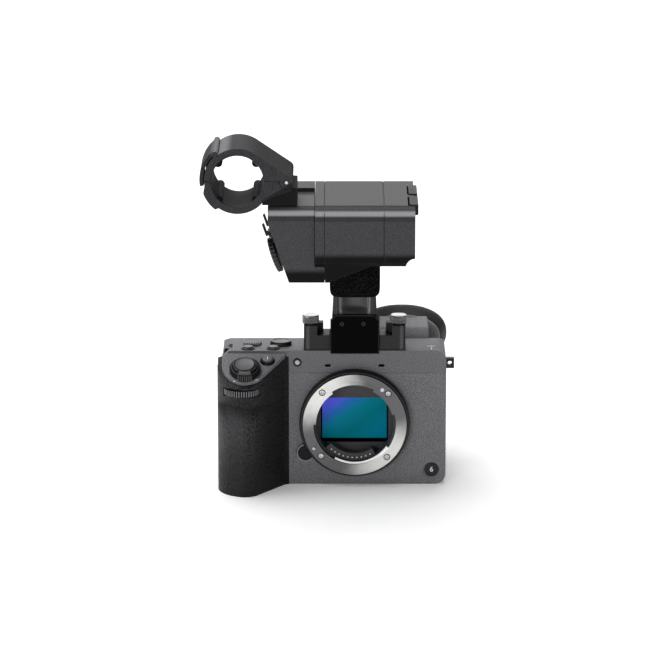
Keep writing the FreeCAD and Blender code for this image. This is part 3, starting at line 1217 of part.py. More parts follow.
def screen():
    """Hinge arm with pin stubs, and the panel with its sunken display window."""
    arm = Piece("screen_arm_block")
    arm_left = s.screen_right + s.screen_gap
    across, depth = arm_axis
    plan = [(arm_left, screen_near), (across, screen_near), (s.arm_right, depth, arm_radius, 1),
            (across, screen_far, arm_radius, 1), (arm_left, screen_far)]
    arm.pad("XY", [plan], s.arm_low, s.arm_high)
    pin = rod("screen_arm_pin", (across, depth, s.arm_low - s.arm_pin_long), s.arm_pin,
              s.arm_high - s.arm_low + 2 * s.arm_pin_long)
    middle = (s.arm_low + s.arm_high) / 2
    trunnion = rod("screen_trunnion", (s.screen_right - s.arm_pin_long, depth, middle), s.arm_pin,
                   s.arm_pin_long + s.screen_gap * 2, **RIGHTWARD)
    keep("screen_arm", join("screen_arm", arm, pin, trunnion))
    panel = Piece("screen_panel")
    width = s.screen_left + s.screen_right
    tall = s.screen_high - s.screen_low
    centre = ((s.screen_right - s.screen_left) / 2, (s.screen_high + s.screen_low) / 2)
    panel.pad("XZ", [rounded(*centre, width, tall, s.screen_corner)], screen_near, screen_far)
    border = 2 * s.screen_border
    window = rounded(*centre, width - border, tall - border, s.screen_corner)
    panel.pocket("XZ", [window], screen_far - s.screen_lip, screen_far)
    bore = circle(depth, middle, s.arm_pin + s.run_fit)
    panel.pocket("YZ", [bore], s.screen_right - s.arm_pin_long - s.seam_gap, s.screen_right)
    keep("screen_panel", panel)


def screen_ears():
    """The two ears on the rear shell that carry the screen arm's pin stubs."""
    across, depth = arm_axis
    ears = []
    for number, low in enumerate((s.arm_low - s.fit_gap - s.ear_tall, s.arm_high + s.fit_gap)):
        round_end = rod(f"screen_ear_round_{number}", (across, depth, low), arm_radius, s.ear_tall)
        base = box(f"screen_ear_base_{number}", [(across - arm_radius, across + arm_radius),
                                                 (rear - s.wall / 2, depth), (low, low + s.ear_tall)])
        ears += [round_end, base]
    reach = s.arm_pin_long + s.fit_gap
    hole = rod("screen_ear_hole", (across, depth, s.arm_low - reach), s.arm_pin + s.run_fit,
               s.arm_high - s.arm_low + 2 * reach)
    return ears, hole


# Accessory shoe, handle foot and its two thumb screws
def accessory_shoe():
    """Steel shoe let into the cover, with a T slot open to the rear."""
    piece = Piece("accessory_shoe")
    gap = s.seam_gap / 2
    low = top - s.shoe_sink
    plan = rectangle(-s.shoe_width / 2 + gap, s.shoe_width / 2 - gap, -s.shoe_front + gap, s.shoe_rear - gap)
    piece.pad("XY", [plan], low, top)
    floor = low + s.shoe_floor
    slot = rectangle(-s.shoe_slot / 2, s.shoe_slot / 2, floor, floor + s.shoe_slot_tall)
    mouth = rectangle(-s.shoe_mouth / 2, s.shoe_mouth / 2, floor, top + 1)
    for outline in (slot, mouth):
        piece.pocket("XZ", [outline], -s.shoe_front + s.wall, s.shoe_rear)
    keep("accessory_shoe", piece)


def handle_base():
    """Foot of the handle: a beam with two posts, and the tongue that sits in the shoe."""
    piece = Piece("handle_base_block")
    beam = rectangle(-s.post_outer, s.post_outer, top, top + s.beam_height)
    piece.pad("XZ", [beam], -s.foot_front, s.foot_rear)
    high = top + s.post_height
    posts = [rectangle(s.post_inner, s.post_outer, top + s.wall, high),
             rectangle(-s.post_outer, -s.post_inner, top + s.wall, high)]
    piece.pad("XZ", posts, -s.foot_front, s.post_rear)
    ledges = [rectangle(s.ledge_half, s.post_inner + s.wall, top + s.wall, high),
              rectangle(-s.post_inner - s.wall, -s.ledge_half, top + s.wall, high)]
    piece.pad("XZ", ledges, -s.ledge_front, s.post_rear)
    saddle = rectangle(-s.neck_half - s.seam_gap, s.neck_half + s.seam_gap, top + s.foot_floor, high)
    piece.pocket("XZ", [saddle], -s.foot_front, s.foot_rear)
    holes = [circle(sign * s.thumb_across, -s.thumb_depth, s.thumb_shank + s.fit_gap) for sign in (-1, 1)]
    piece.pocket("XY", holes, top, high)
    corners = [s.post_outer.number, -s.post_outer.number]
    piece.soften(s.post_round, lambda edge: along(edge, "z") and any(
        level(edge, "x", corner) for corner in corners) and level(edge, "y", -s.foot_front))
    tongue = Piece("handle_tongue")
    gap = s.tongue_gap
    floor = top - s.shoe_sink + s.shoe_floor + gap
    plate_top = floor + s.shoe_slot_tall - 2 * gap
    wide, narrow = s.shoe_slot / 2 - gap, s.shoe_mouth / 2 - gap
    tongue.pad("XZ", [[(-wide, floor), (wide, floor), (wide, plate_top), (narrow, plate_top),
                       (narrow, top + 1), (-narrow, top + 1), (-narrow, plate_top), (-wide, plate_top)]],
               -s.shoe_front + s.wall + gap, s.foot_rear)
    keep("handle_base", join("handle_base", piece, tongue))


def thumb_screws():
    """Two captive knurled screws that clamp the handle's posts to the cover."""
    for name, sign in (("thumb_screw_left", -1), ("thumb_screw_right", 1)):
        base = top + s.post_height + s.thumb_lift
        piece = Piece(name, (sign * s.thumb_across, -s.thumb_depth, base))
        low = -(s.post_height + s.thumb_lift + s.wall + s.thumb_reach - 1)
        edge = 0.6
        piece.turn([(0, low), (s.thumb_shank, low), (s.thumb_shank, 0), (s.thumb_radius, 0),
                    (s.thumb_radius, s.thumb_tall - edge), (s.thumb_radius - edge, s.thumb_tall),
                    (0, s.thumb_tall)])
        keep(name, piece)


# Handle: a neck with its black cover plate, and the rubber-covered bar
def handle_neck():
    """Tapered neck between the foot and the bar, with a scooped front and a cover plate."""
    piece = Piece("handle_neck")
    low = top + s.foot_floor
    inner = s.neck_half - s.seam_gap
    piece.loft("XY", [(low, rectangle(-inner, inner, -s.neck_front, s.neck_rear)),
                      (s.chin_low, rectangle(-s.neck_top_half, s.neck_top_half, -s.neck_top_front,
                                             s.neck_top_rear))])
    scoop = rounded(as_size(0), (s.scoop_low + s.chin_low) / 2, s.scoop_half * 2, s.chin_low - s.scoop_low,
                    s.scoop_round)
    piece.pocket("XZ", [scoop], -s.neck_front, -s.neck_top_front + s.scoop_depth)
    half, slope = s.neck_half, s.plate_cut
    plate_back = front - s.seam_gap / 2

    def plate(bottom):
        return [(-half, bottom), (half, bottom), (half, s.plate_high - slope), (half - slope, s.plate_high),
                (-half + slope, s.plate_high), (-half, s.plate_high - slope)]

    piece.pad("XZ", [plate(low)], plate_back - s.plate_thick, -s.neck_top_front - s.seam_gap)
    piece.pad("XZ", [plate(s.plate_low)], plate_back - s.plate_thick, plate_back)
    keep("handle_neck", piece)


def handle_bar():
    """Grip bar with its chin: a side profile with rounded edges and a threaded stud hole."""
    piece = Piece("handle_grip")
    chin, tail = s.chin_round, s.tail_round
    start = s.case_rear
    outline = [(-s.chin_front + chin, s.chin_low), (s.chin_rear, s.chin_low), (s.web_rear, s.bar_low),
               (s.bar_rear - tail, s.bar_low + s.palm_rise),
               (s.bar_rear, s.bar_low + s.palm_rise + tail, tail, 1),
               (s.bar_rear, s.bar_high - tail), (s.bar_rear - tail, s.bar_high, tail, 1),
               (start, s.bar_high), (start, s.case_low), (-s.chin_front, s.case_low),
               (-s.chin_front, s.chin_low + chin), (-s.chin_front + chin, s.chin_low, chin, 1)]
    piece.pad("YZ", [outline], -s.chin_half, s.chin_half)

    def long_edge(edge):
        box_of = edge.BoundBox
        flat_side = level(edge, "x", s.chin_half) or level(edge, "x", -s.chin_half)
        return flat_side and box_of.YMax > start.number + 1 and box_of.ZMax > s.chin_low.number + 1

    piece.soften(s.bar_round, long_edge)
    piece.pocket("XY", [circle(0, s.stud_depth, s.stud_radius)], s.bar_high - s.stud_deep, s.bar_high)
    keep("handle_grip", piece)


# Audio unit: control case with gain dials, socket case with two combined inputs
def slant_point(down, depth, out=0.0):
    """A point on the control case's slanted side, down from its top edge and out along its normal."""
    down, out = as_size(down), as_size(out)
    return (-s.left_top + down * sine(s.slant_angle) - out * cosine(s.slant_angle), depth,
            s.slant_high - down * cosine(s.slant_angle) - out * sine(s.slant_angle))


SLANT = dict(axis=Vector(0, 1, 0), angle=-(s.slant_angle + 90))
gains = (("audio_dial_front", s.gain_front), ("audio_dial_rear", s.gain_rear))
inputs = (("front", s.input_front), ("rear", s.input_rear))
switches = (("audio_switch_front", s.gain_front), ("audio_switch_rear", s.gain_rear))


def slant_block(name, depth, down_span, out_span, slack=0, run=0):
    """A block square to the slanted side, given by its spans down it and out of it."""
    block = doc.addObject("Part::Box", name)
    near, far = as_size(down_span[0]), as_size(down_span[1])
    low, high = as_size(out_span[0]), as_size(out_span[1])
    bind(block, "Length", far - near + 2 * slack)
    bind(block, "Width", s.switch_long + run + 2 * slack)
    bind(block, "Height", high - low)
    place(block, slant_point(far + slack, -depth - s.switch_long / 2 - slack, low), **SLANT)
    return block


def control_case():
    """Left half of the audio unit, with its slanted control side and the clamp's recess."""
    piece = Piece("audio_control_shell")
    slant_end = -s.left_top + (s.slant_high - s.left_low) * tangent(s.slant_angle)
    inner = -s.case_step - s.seam_gap
    face = -s.case_front + s.left_setback
    step = s.case_low - s.seam_gap
    outline = [(slant_end, s.left_low), (-s.seam_one, s.left_low), (-s.seam_one, step), (inner, step),
               (inner, s.case_high), (-s.left_top, s.case_high), (-s.left_top, s.slant_high)]
    piece.pad("XZ", [outline], face, s.case_rear)
    piece.soften(s.case_round, lambda edge: along(edge, "x") and level(edge, "y", face)
                 and level(edge, "z", s.case_high))
    recess = rectangle(-s.left_top - 1, inner, -s.pocket_front, -s.pocket_rear)
    piece.pocket("XY", [recess], s.case_high - s.pocket_depth, s.case_high)
    bores = [rod(f"{name}_bore", slant_point(s.gain_down, -depth, -s.gain_stem - s.fit_gap),
                 s.stem_radius + s.run_fit, s.big_reach / 4, **SLANT) for name, depth in gains]
    slots = [slant_block(f"{name}_slot", depth, (s.switch_foot, s.switch_end), (-s.switch_sink - s.fit_gap,
                         s.switch_under), s.key_gap, s.switch_travel) for name, depth in switches]
    keep("audio_control_case", cut("audio_control_case", piece, *bores, *slots))


def socket_case():
    """Right half of the audio unit, with bores for the inputs and pockets for their tabs."""
    piece = Piece("audio_socket_shell")
    run, drop = s.corner_run, s.corner_drop
    outline = [(-s.case_step, s.case_low), (s.case_right - run, s.case_low),
               (s.case_right, s.case_low + drop, run, -1), (s.case_right, s.case_high),
               (-s.case_step, s.case_high)]
    face = -s.case_front
    piece.pad("XZ", [outline], face, s.case_rear)
    piece.soften(s.case_round, lambda edge: along(edge, "x") and level(edge, "y", face)
                 and level(edge, "z", s.case_high))
    piece.soften(s.case_round / 2, lambda edge: along(edge, "x") and level(edge, "y", face)
                 and level(edge, "z", s.case_low), "Chamfer")
    half = s.seam_cut / 2
    for across in (-s.seam_one, s.seam_two):
        front_seam = rectangle(across - half, across + half, s.case_low, s.case_high)
        piece.pocket("XZ", [front_seam], face, face + s.seam_cut)
        top_seam = rectangle(across - half, across + half, face, s.case_rear)
        piece.pocket("XY", [top_seam], s.case_high - s.seam_cut, s.case_high)
    wedge = [(-s.seam_one + s.seam_gap, s.left_low), (-s.wedge_left, s.left_low), (s.wedge_right, s.case_low),
             (s.wedge_right, s.case_low + s.seam_cut), (-s.seam_one + s.seam_gap, s.case_low + s.seam_cut)]
    piece.pad("XZ", [wedge], face + s.left_setback, -s.chin_front - s.wedge_gap)
    bores = [circle(-depth, s.input_height, s.input_radius + s.run_fit) for _, depth in inputs]
    piece.pocket("YZ", bores, s.case_right - s.input_long, s.case_right)
    slack = s.key_gap
    pockets = [rectangle(-depth - s.tab_shift - s.tab_half - slack, -depth - s.tab_shift + s.tab_half + slack,
                         s.tab_low - slack, s.case_high + 1) for _, depth in inputs]
    piece.pocket("YZ", pockets, s.case_right - s.tab_sink - s.tab_travel - slack, s.case_right)
    keep("audio_socket_case", piece)


def audio_inputs():
    """Two combined inputs, each with three pin holes round a jack bore, and their release tabs."""
    sockets = []
    for name, depth in inputs:
        socket = Piece(f"input_{name}", (s.case_right, -depth, s.input_height), **RIGHTWARD)
        face = -s.input_face
        rim = s.input_radius - s.input_face
        socket.turn([(0, -s.input_long), (s.input_radius, -s.input_long), (s.input_radius, 0), (rim, 0),
                     (rim, face), (s.plug_radius, face), (s.plug_radius, face - s.plug_long),
                     (0, face - s.plug_long)])
        holes = [circle(*polar(0, 0, s.pin_circle, angle), s.pin_hole) for angle in (0, 90, 270)]
        socket.pocket("XY", holes, face - s.pin_deep, face)
        sockets.append(socket)
        tab = Piece(f"release_tab_{name}")
        middle = -depth - s.tab_shift
        face_plan = rectangle(middle - s.tab_half, middle + s.tab_half, s.tab_low, s.tab_high)
        tab.pad("YZ", [face_plan], s.case_right - s.tab_sink, s.case_right + s.tab_rise)
        end = s.case_right + s.tab_rise
        tab.soften(s.edge_round / 2, lambda edge: level(edge, "x", end))
        keep(f"release_tab_{name}", tab)
    keep("audio_inputs", group("audio_inputs", *sockets))


def audio_controls():
    """Two gain dials and two slide switches with upright blades on the slanted side."""
    for name, depth in gains:
        dial = Piece(name, slant_point(s.gain_down, -depth), **SLANT)
        dial.turn([(0, -s.gain_stem), (s.stem_radius, -s.gain_stem), (s.stem_radius, s.lift),
                   (s.gain_waist, s.lift), (s.gain_waist, s.gain_low), (s.gain_radius, s.gain_low),
                   (s.gain_radius, s.gain_edge), (s.gain_crown, s.gain_rise), (0, s.gain_rise)])
        keep(name, dial)
    for name, depth in switches:
        foot = slant_block(f"{name}_foot", depth, (s.switch_foot, s.switch_end),
                           (-s.switch_sink, s.switch_under))
        blade = slant_block(f"{name}_blade", depth, (s.switch_down, s.switch_end),
                            (s.switch_under, s.switch_rise))
        keep(name, join(name, foot, blade))


# Microphone clamp: lower half on the audio unit, hinged arch, lever and pin
ring_x, ring_z = -s.ring_across, s.ring_height
pin_x, pin_z = -s.hinge_across, s.hinge_height
knuckle = (-s.ring_front + s.knuckle_in, -s.ring_rear - s.knuckle_in)
lever_pivot = polar(ring_x, ring_z, s.lever_pivot, s.lever_angle)
lever_span = (-s.ring_front + s.lever_in, -s.ring_rear - s.lever_in)


def bar_along(name, spot, radius, span):
    """A round bar along Y between two depths."""
    low, high = as_size(span[0]), as_size(span[1])
    return rod(name, (spot[0], high, spot[1]), radius, high - low, **FORWARD)


def ear_spans(gap):
    """The stretches in front of and behind the hinge knuckle."""
    return ((-s.ring_front - gap, knuckle[0] - s.fit_gap), (knuckle[1] + s.fit_gap, -s.ring_rear + gap))


def ribs(name, angles):
    spans = (-s.ring_front, -s.ring_rear)
    return [bar_along(f"{name}_rib_{angle}", polar(ring_x, ring_z, s.rib_circle, angle), s.rib_radius, spans)
            for angle in angles]


def clamp_base():
    """Lower half of the clamp with its foot, knuckle and pressed-in hinge pin, ribs and lever catch."""
    piece = Piece("mic_clamp_lower")
    low = ring_z - s.fit_gap / 2
    outer, inner = s.ring_outer, s.ring_inner
    corner = polar(ring_x, ring_z, outer, -s.saddle_angle)
    floor = s.case_high + s.foot_rise
    ring = [(ring_x - outer, low), (ring_x, ring_z - outer, outer, 1), corner + (outer, 1),
            (-s.neck_left, s.neck_low), (-s.neck_right, s.neck_high),
            (-s.neck_right, s.neck_high + s.ear_radius / 2),
            (pin_x - s.ear_radius - s.ear_gap, low), (ring_x + inner, low),
            (ring_x, ring_z - inner, inner, -1), (ring_x - inner, low, inner, -1)]
    piece.pad("XZ", [ring], -s.ring_front, -s.ring_rear)
    block = [(-s.foot_left, floor), (-s.foot_right, floor), (-s.foot_right, s.foot_top),
             (-s.neck_right - 1, s.neck_high + 1), (-s.neck_left, s.neck_low + 1),
             (-s.foot_left, s.neck_low - s.foot_sink)]
    piece.pad("XZ", [block], -s.foot_ahead, -s.saddle_rear)
    tongue = rectangle(-s.saddle_left, -s.foot_right, s.case_high - s.pocket_depth, floor + 1)
    piece.pad("XZ", [tongue], -s.saddle_front, -s.saddle_rear)
    tail_low, tail_high = s.tail_start, s.tail_end
    tail = [polar(ring_x, ring_z, outer - 1, tail_low), polar(ring_x, ring_z, outer - 1, tail_high),
            polar(ring_x, ring_z, s.tail_outer, tail_high - s.tail_taper),
            polar(ring_x, ring_z, s.tail_outer, tail_low)]
    tail[1] = tail[1] + (outer - 1, 1)
    tail[3] = tail[3] + (s.tail_outer, -1)
    piece.pad("XZ", [tail], -s.ring_front, -s.ring_rear)
    middle = bar_along("clamp_knuckle", (pin_x, pin_z), s.ear_radius, knuckle)
    whole = join("clamp_base_blank", piece, middle, *ribs("lower", (225, 315)))
    clearances = [bar_along(f"ear_clearance_{number}", (pin_x, pin_z), s.ear_radius + s.ear_gap, span)
                  for number, span in enumerate(ear_spans(1.0))]
    body = cut("clamp_base_body", whole, *clearances)
    pin = bar_along("clamp_pin", (pin_x, pin_z), s.clamp_pin, (-s.ring_front - s.seam_gap, -s.ring_rear))
    keep("mic_clamp_base", join("mic_clamp_base", body, pin))


def clamp_arch():
    """Upper half of the clamp: its arm ends in two ears round the pin, its far side in lever lugs."""
    piece = Piece("mic_clamp_upper")
    low = ring_z + s.fit_gap / 2
    outer, inner = s.ring_outer, s.ring_inner
    shoulder = polar(ring_x, ring_z, outer, s.tangent_angle)
    ear_top = polar(pin_x, pin_z, s.ear_radius, s.tangent_angle)
    ring = [(ring_x + inner, low), (pin_x, low), ear_top, shoulder, (ring_x, ring_z + outer, outer, 1),
            (ring_x - outer, low, outer, 1), (ring_x - inner, low), (ring_x, ring_z + inner, inner, -1),
            (ring_x + inner, low, inner, -1)]
    piece.pad("XZ", [ring], -s.ring_front, -s.ring_rear)
    ears = [bar_along(f"arch_ear_{number}", (pin_x, pin_z), s.ear_radius, span)
            for number, span in enumerate(ear_spans(0.0))]
    middle = bar_along("arch_middle_cut", (pin_x, pin_z), s.ear_radius + s.ear_gap,
                       (knuckle[0] - s.fit_gap, knuckle[1] + s.fit_gap))
    hole = bar_along("arch_pin_hole", (pin_x, pin_z), s.clamp_pin + s.run_fit, (-s.ring_front, -s.ring_rear))
    lever_room = bar_along("arch_lever_cut", lever_pivot, s.lever_hub + s.fit_gap,
                           (lever_span[0] - s.fit_gap, lever_span[1] + s.fit_gap))
    lever_hole = bar_along("lever_pin_hole", lever_pivot, s.lever_pin + s.run_fit,
                           (-s.ring_front, -s.ring_rear))
    lugs = [bar_along(f"lever_lug_{number}", lever_pivot, s.lever_hub, span) for number, span in enumerate(
        ((-s.ring_front, lever_span[0] - s.fit_gap), (lever_span[1] + s.fit_gap, -s.ring_rear)))]
    whole = join("clamp_arch_blank", piece, *ears, *lugs, *ribs("upper", (45, 135)))
    keep("mic_clamp_arch", cut("mic_clamp_arch", whole, middle, hole, lever_room, lever_hole))


def clamp_lever():
    """Curved locking lever that hangs from the arch down over the split, with its pivot pin."""
    piece = Piece("mic_clamp_lever_band")
    start, end = s.lever_angle + 2, s.lever_end
    inner, outer = s.lever_inner, s.lever_outer
    band = [polar(ring_x, ring_z, inner, start) + (inner, -1), polar(ring_x, ring_z, outer, start),
            polar(ring_x, ring_z, outer, end) + (outer, 1), polar(ring_x, ring_z, inner, end)]
    piece.pad("XZ", [band], *lever_span)
    hub = bar_along("lever_hub", lever_pivot, s.lever_hub, lever_span)
    pin = bar_along("lever_pin", lever_pivot, s.lever_pin, (-s.ring_front, -s.ring_rear))
    keep("mic_clamp_lever", join("mic_clamp_lever", piece, hub, pin))


# Making, checking and writing the sub-parts
def build():
    for make in (front_casing, rear_casing, top_cover, bottom_plate, tripod_socket, grip_shell, grip_rubber,
                 grip_deck, battery, battery_door, front_dial, shutter_button, zoom_lever, top_controls,
                 lens_mount_ring, mount_screws, mount_surround, lens_lock, throat_frame, lens_contacts,
                 image_sensor, main_board, cooling_fan, side_doors, front_button_six, control_wheel,
                 strap_lugs, viewfinder, screen, accessory_shoe, handle_base, thumb_screws, handle_neck,
                 handle_bar, control_case, socket_case, audio_inputs, audio_controls, clamp_base,
                 clamp_arch, clamp_lever):
        make()
    push_key("button_one", deck_point(*key_one_spot), s.key_one_radius, s.key_one_sink, s.key_one_rise, **DECK)
    doc.recompute()


def check():
    """Stops unless every object is sound, every cut took something away and every solid is closed."""
    for thing in doc.Objects:
        bad = [state for state in thing.State if state in ("Invalid", "Error")]
        if bad:
            raise RuntimeError(f"{thing.Label}: {bad}")
    for before, feature in cuts:
        if feature.Shape.Volume > before.Shape.Volume - 1e-3:
            raise RuntimeError(f"{feature.Label} cuts nothing")
    for name, thing in nodes.items():
        shape = thing.Shape
        if shape.isNull() or not shape.isValid() or not shape.Solids:
            raise RuntimeError(f"{name} has no sound solid")


build()
check()
os.makedirs("parts", exist_ok=True)
for name, thing in nodes.items():
    thing.Shape.exportStep(f"parts/{name}.step")
    print(name, len(thing.Shape.Solids), round(thing.Shape.Volume))
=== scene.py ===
"""Looks of a compact cinema camera with a side grip, a tilting viewfinder and a top audio handle.

Everything is in metres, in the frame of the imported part: +Z up, the lens looks along -Y.
"""

import math

import bmesh
import bpy
import numpy as np
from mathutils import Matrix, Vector


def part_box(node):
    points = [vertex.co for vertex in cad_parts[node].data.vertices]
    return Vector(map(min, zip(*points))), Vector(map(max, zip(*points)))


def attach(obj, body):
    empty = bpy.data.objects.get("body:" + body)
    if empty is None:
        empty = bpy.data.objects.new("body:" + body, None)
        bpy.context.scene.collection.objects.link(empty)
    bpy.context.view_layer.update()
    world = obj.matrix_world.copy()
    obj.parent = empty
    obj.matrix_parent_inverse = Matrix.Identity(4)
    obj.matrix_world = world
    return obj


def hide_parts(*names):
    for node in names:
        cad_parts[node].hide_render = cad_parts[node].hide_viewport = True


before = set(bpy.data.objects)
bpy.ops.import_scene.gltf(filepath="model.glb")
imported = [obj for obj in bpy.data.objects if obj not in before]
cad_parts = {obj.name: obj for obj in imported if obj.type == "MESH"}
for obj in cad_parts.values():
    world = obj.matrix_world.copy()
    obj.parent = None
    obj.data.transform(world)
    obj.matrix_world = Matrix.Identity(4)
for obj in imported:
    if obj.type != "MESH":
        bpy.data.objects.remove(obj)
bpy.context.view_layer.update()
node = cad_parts


# Main casing: front shell, rear shell and the two side doors.
# Die-cast alloy under a fine sprinkled dark grey paint, with a thin bright line on its edges that is part
# wear and part painted highlight.
class Value:
    """A number or colour that varies over a surface; sums and products on it add Math nodes."""

    def __init__(self, paint, socket):
        self.paint = paint
        self.socket = socket

    def math(self, operation, *others):
        return self.paint.node("Math", {"operation": operation}, self, *others)

    def __add__(self, other):
        return self.math("ADD", other)

    def __radd__(self, other):
        return self.math("ADD", other)

    def __sub__(self, other):
        return self.math("SUBTRACT", other)

    def __rsub__(self, other):
        return self.paint.node("Math", {"operation": "SUBTRACT"}, other, self)

    def __mul__(self, other):
        return self.math("MULTIPLY", other)

    def __truediv__(self, other):
        return self.math("DIVIDE", other)

    def __pow__(self, other):
        return self.math("POWER", other)

    def between(self, low, high):
        """Rises from 0 at low to 1 at high."""
        return self.paint.node("MapRange", {"interpolation_type": "SMOOTHSTEP"}, self, low, high, 0.0, 1.0)


class Paint:
    """A procedural material on Object coordinates with one Principled shader."""

    def __init__(self, name, roughness=0.5, metallic=0.0, **constants):
        self.material = bpy.data.materials.new(name)
        self.material.use_nodes = True
        self.tree = self.material.node_tree
        self.tree.nodes.clear()
        self.shader = self.tree.nodes.new("ShaderNodeBsdfPrincipled")
        output = self.tree.nodes.new("ShaderNodeOutputMaterial")
        self.tree.links.new(self.shader.outputs[0], output.inputs["Surface"])
        for socket, value in dict(constants, Roughness=roughness, Metallic=metallic).items():
            self.shader.inputs[socket.replace("_", " ")].default_value = value
        self.place = self.node("TexCoord", {}, output="Object")

    def node(self, kind, settings, *values, output=0, **named):
        """Adds one node, with its settings first and then the values or links of its sockets."""
        made = self.tree.nodes.new(f"ShaderNode{kind}")
        for name, setting in settings.items():
            if name == "stops":
                for _ in range(len(setting) - 2):
                    made.color_ramp.elements.new(0.5)
                for element, (spot, colour) in zip(made.color_ramp.elements, setting):
                    element.position = spot
                    element.color = tuple(colour) + (1,)
            else:
                setattr(made, name, setting)
        sockets = [(made.inputs[number], value) for number, value in enumerate(values)]
        sockets += [(made.inputs[name.replace("_", " ")], value) for name, value in named.items()]
        for socket, value in sockets:
            if isinstance(value, Value):
                self.tree.links.new(value.socket, socket)
            elif value is not None:
                socket.default_value = value
        return Value(self, made.outputs[output])

    def noise(self, size, detail=2.0, rough=0.5, place=None):
        """Cloudy noise whose lumps are about size metres across."""
        return self.node("TexNoise", {"noise_dimensions": "3D"}, Vector=place or self.place, Scale=1 / size,
                         Detail=detail, Roughness=rough)

    def cells(self, size, feature="F1"):
        """Distance to scattered points that lie about size metres apart."""
        return self.node("TexVoronoi", {"feature": feature}, Vector=self.place, Scale=1 / size,
                         output="Distance")

    def vector(self, operation, *values, **named):
        """One step of vector arithmetic."""
        return self.node("VectorMath", {"operation": operation}, *values, **named)

    def coordinates(self, place=None):
        """The three coordinates of a spot, X across, Y back and Z up."""
        split = self.node("SeparateXYZ", {}, place or self.place).socket.node
        return [Value(self, socket) for socket in split.outputs]

    def reach(self, centre, axis, place=None):
        """Distance from an axis of unit length through centre: the length of the cross product of
        the axis and the way from centre to the spot."""
        away = self.vector("SUBTRACT", place or self.place, tuple(centre))
        square = self.vector("CROSS_PRODUCT", away, tuple(axis))
        return self.vector("LENGTH", square, output="Value")

    def mix(self, share, one, two):
        """Blends two colours, or greys given by their level, by a share from 0 to 1."""
        mixed = self.node("Mix", {"data_type": "RGBA"}, share, output=2)
        for socket, colour in zip(mixed.socket.node.inputs[6:8], (one, two)):
            if isinstance(colour, Value):
                self.tree.links.new(colour.socket, socket)
            else:
                colour = colour if isinstance(colour, tuple) else grey(colour)
                socket.default_value = colour + (1,)
        return mixed

    def over(self, tone, *layers):
        """Lays greys over a colour one by one, each given as its share and its level."""
        for share, level in layers:
            tone = self.mix(share, tone, level)
        return tone

    def feed(self, name, value):
        self.tree.links.new(value.socket, self.shader.inputs[name])

    def colour(self, share, one, two):
        """Gives the surface its base colour, a blend of two."""
        self.feed("Base Color", self.mix(share, one, two))

    def edge_wear_and_glint(self, radius):
        """How far a spot is from flat: 0 on flats, rising to 1 on edges rounded by radius; paints lighten
        edges by it, as wear and as a painted highlight.
        """
        soft = self.node("Bevel", {"samples": 6}, radius)
        hard = self.node("NewGeometry", {}, output="Normal")
        level = self.vector("DOT_PRODUCT", soft, hard, output="Value")
        return soft, (1.0 - level).between(0.02, 0.2)

    def bump(self, height, depth, normal=None):
        """Turns a height from 0 to 1 into a relief of depth metres."""
        self.feed("Normal", self.node("Bump", {}, Strength=1.0, Distance=depth, Height=height, Normal=normal))


def grey(level, blue=1.07):
    """A neutral colour with a slightly raised blue."""
    return (level, level, level * blue)


def cover(paint, *names):
    """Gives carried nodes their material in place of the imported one."""
    for name in names:
        mesh = node[name].data
        mesh.materials.clear()
        mesh.materials.append(paint.material)


def sprinkled_paint(name, level, grain=0.0007, relief=0.00003, edge=0.0004):
    """Matt paint with lighter and darker specks, slow clouds, and edges brightened as wear and as a painted
    highlight.
    """
    paint = Paint(name, roughness=0.5, Specular_IOR_Level=0.35)
    speck = paint.noise(grain, 3.0, 0.7)
    cloud = paint.noise(0.02, 2.0)
    flat = paint.mix(speck.between(0.3, 0.7), level * 0.5, level * 1.5)
    flat = paint.mix(cloud.between(0.35, 0.7) * 0.25, flat, level * 1.25)
    soft, wear_and_glint = paint.edge_wear_and_glint(edge)
    paint.colour(wear_and_glint * 0.7, flat, level * 2.8)
    paint.feed("Roughness", 0.55 - wear_and_glint * 0.18 + speck * 0.08)
    paint.bump(speck, relief, soft)
    return paint


casing_paint = sprinkled_paint("casing_paint", 0.16)
cover(casing_paint, "front_casing", "rear_casing", "terminal_door", "card_door")


# Top cover and the deck over the grip.
# The same alloy in a slightly smoother paint; its tone is a little deeper, as painted shade, because it faces
# the light.
shaded_cover_paint = sprinkled_paint("shaded_cover_paint", 0.145, 0.0006, 0.00002)
cover(shaded_cover_paint, "top_cover", "grip_deck")


# Bottom plate, battery with its door and latch, and the tripod insert.
# Moulded black plastic with a fine matt grain; the insert is turned steel.
def moulded(name, level, grain=0.0003, relief=0.00001, roughness=0.5, edge=0.00035, glint=1.8, gloss=0.25):
    """Injection-moulded plastic: spark-eroded grain, faint clouds, and slightly polished edges lit by a
    painted highlight, glint times the level.
    """
    plastic = Paint(name, roughness=roughness, Specular_IOR_Level=gloss)
    pits = plastic.cells(grain)
    cloud = plastic.noise(0.012, 2.0)
    tone = plastic.mix(pits.between(0.1, 0.7) * 0.5 + cloud * 0.3, level * 0.75, level * 1.3)
    soft, wear_and_glint = plastic.edge_wear_and_glint(edge)
    plastic.colour(wear_and_glint * 0.5, tone, level * glint)
    plastic.feed("Roughness", roughness + cloud * 0.14 - wear_and_glint * 0.15)
    plastic.bump(pits, relief, soft)
    return plastic


black_plastic = moulded("black_plastic", 0.014)
cover(black_plastic, "bottom_plate", "battery_door", "battery_latch", "grip_shell", "fan_housing",
      "fan_rotor")
cover(moulded("battery_case", 0.03, 0.0006, 0.000004, 0.42), "battery")


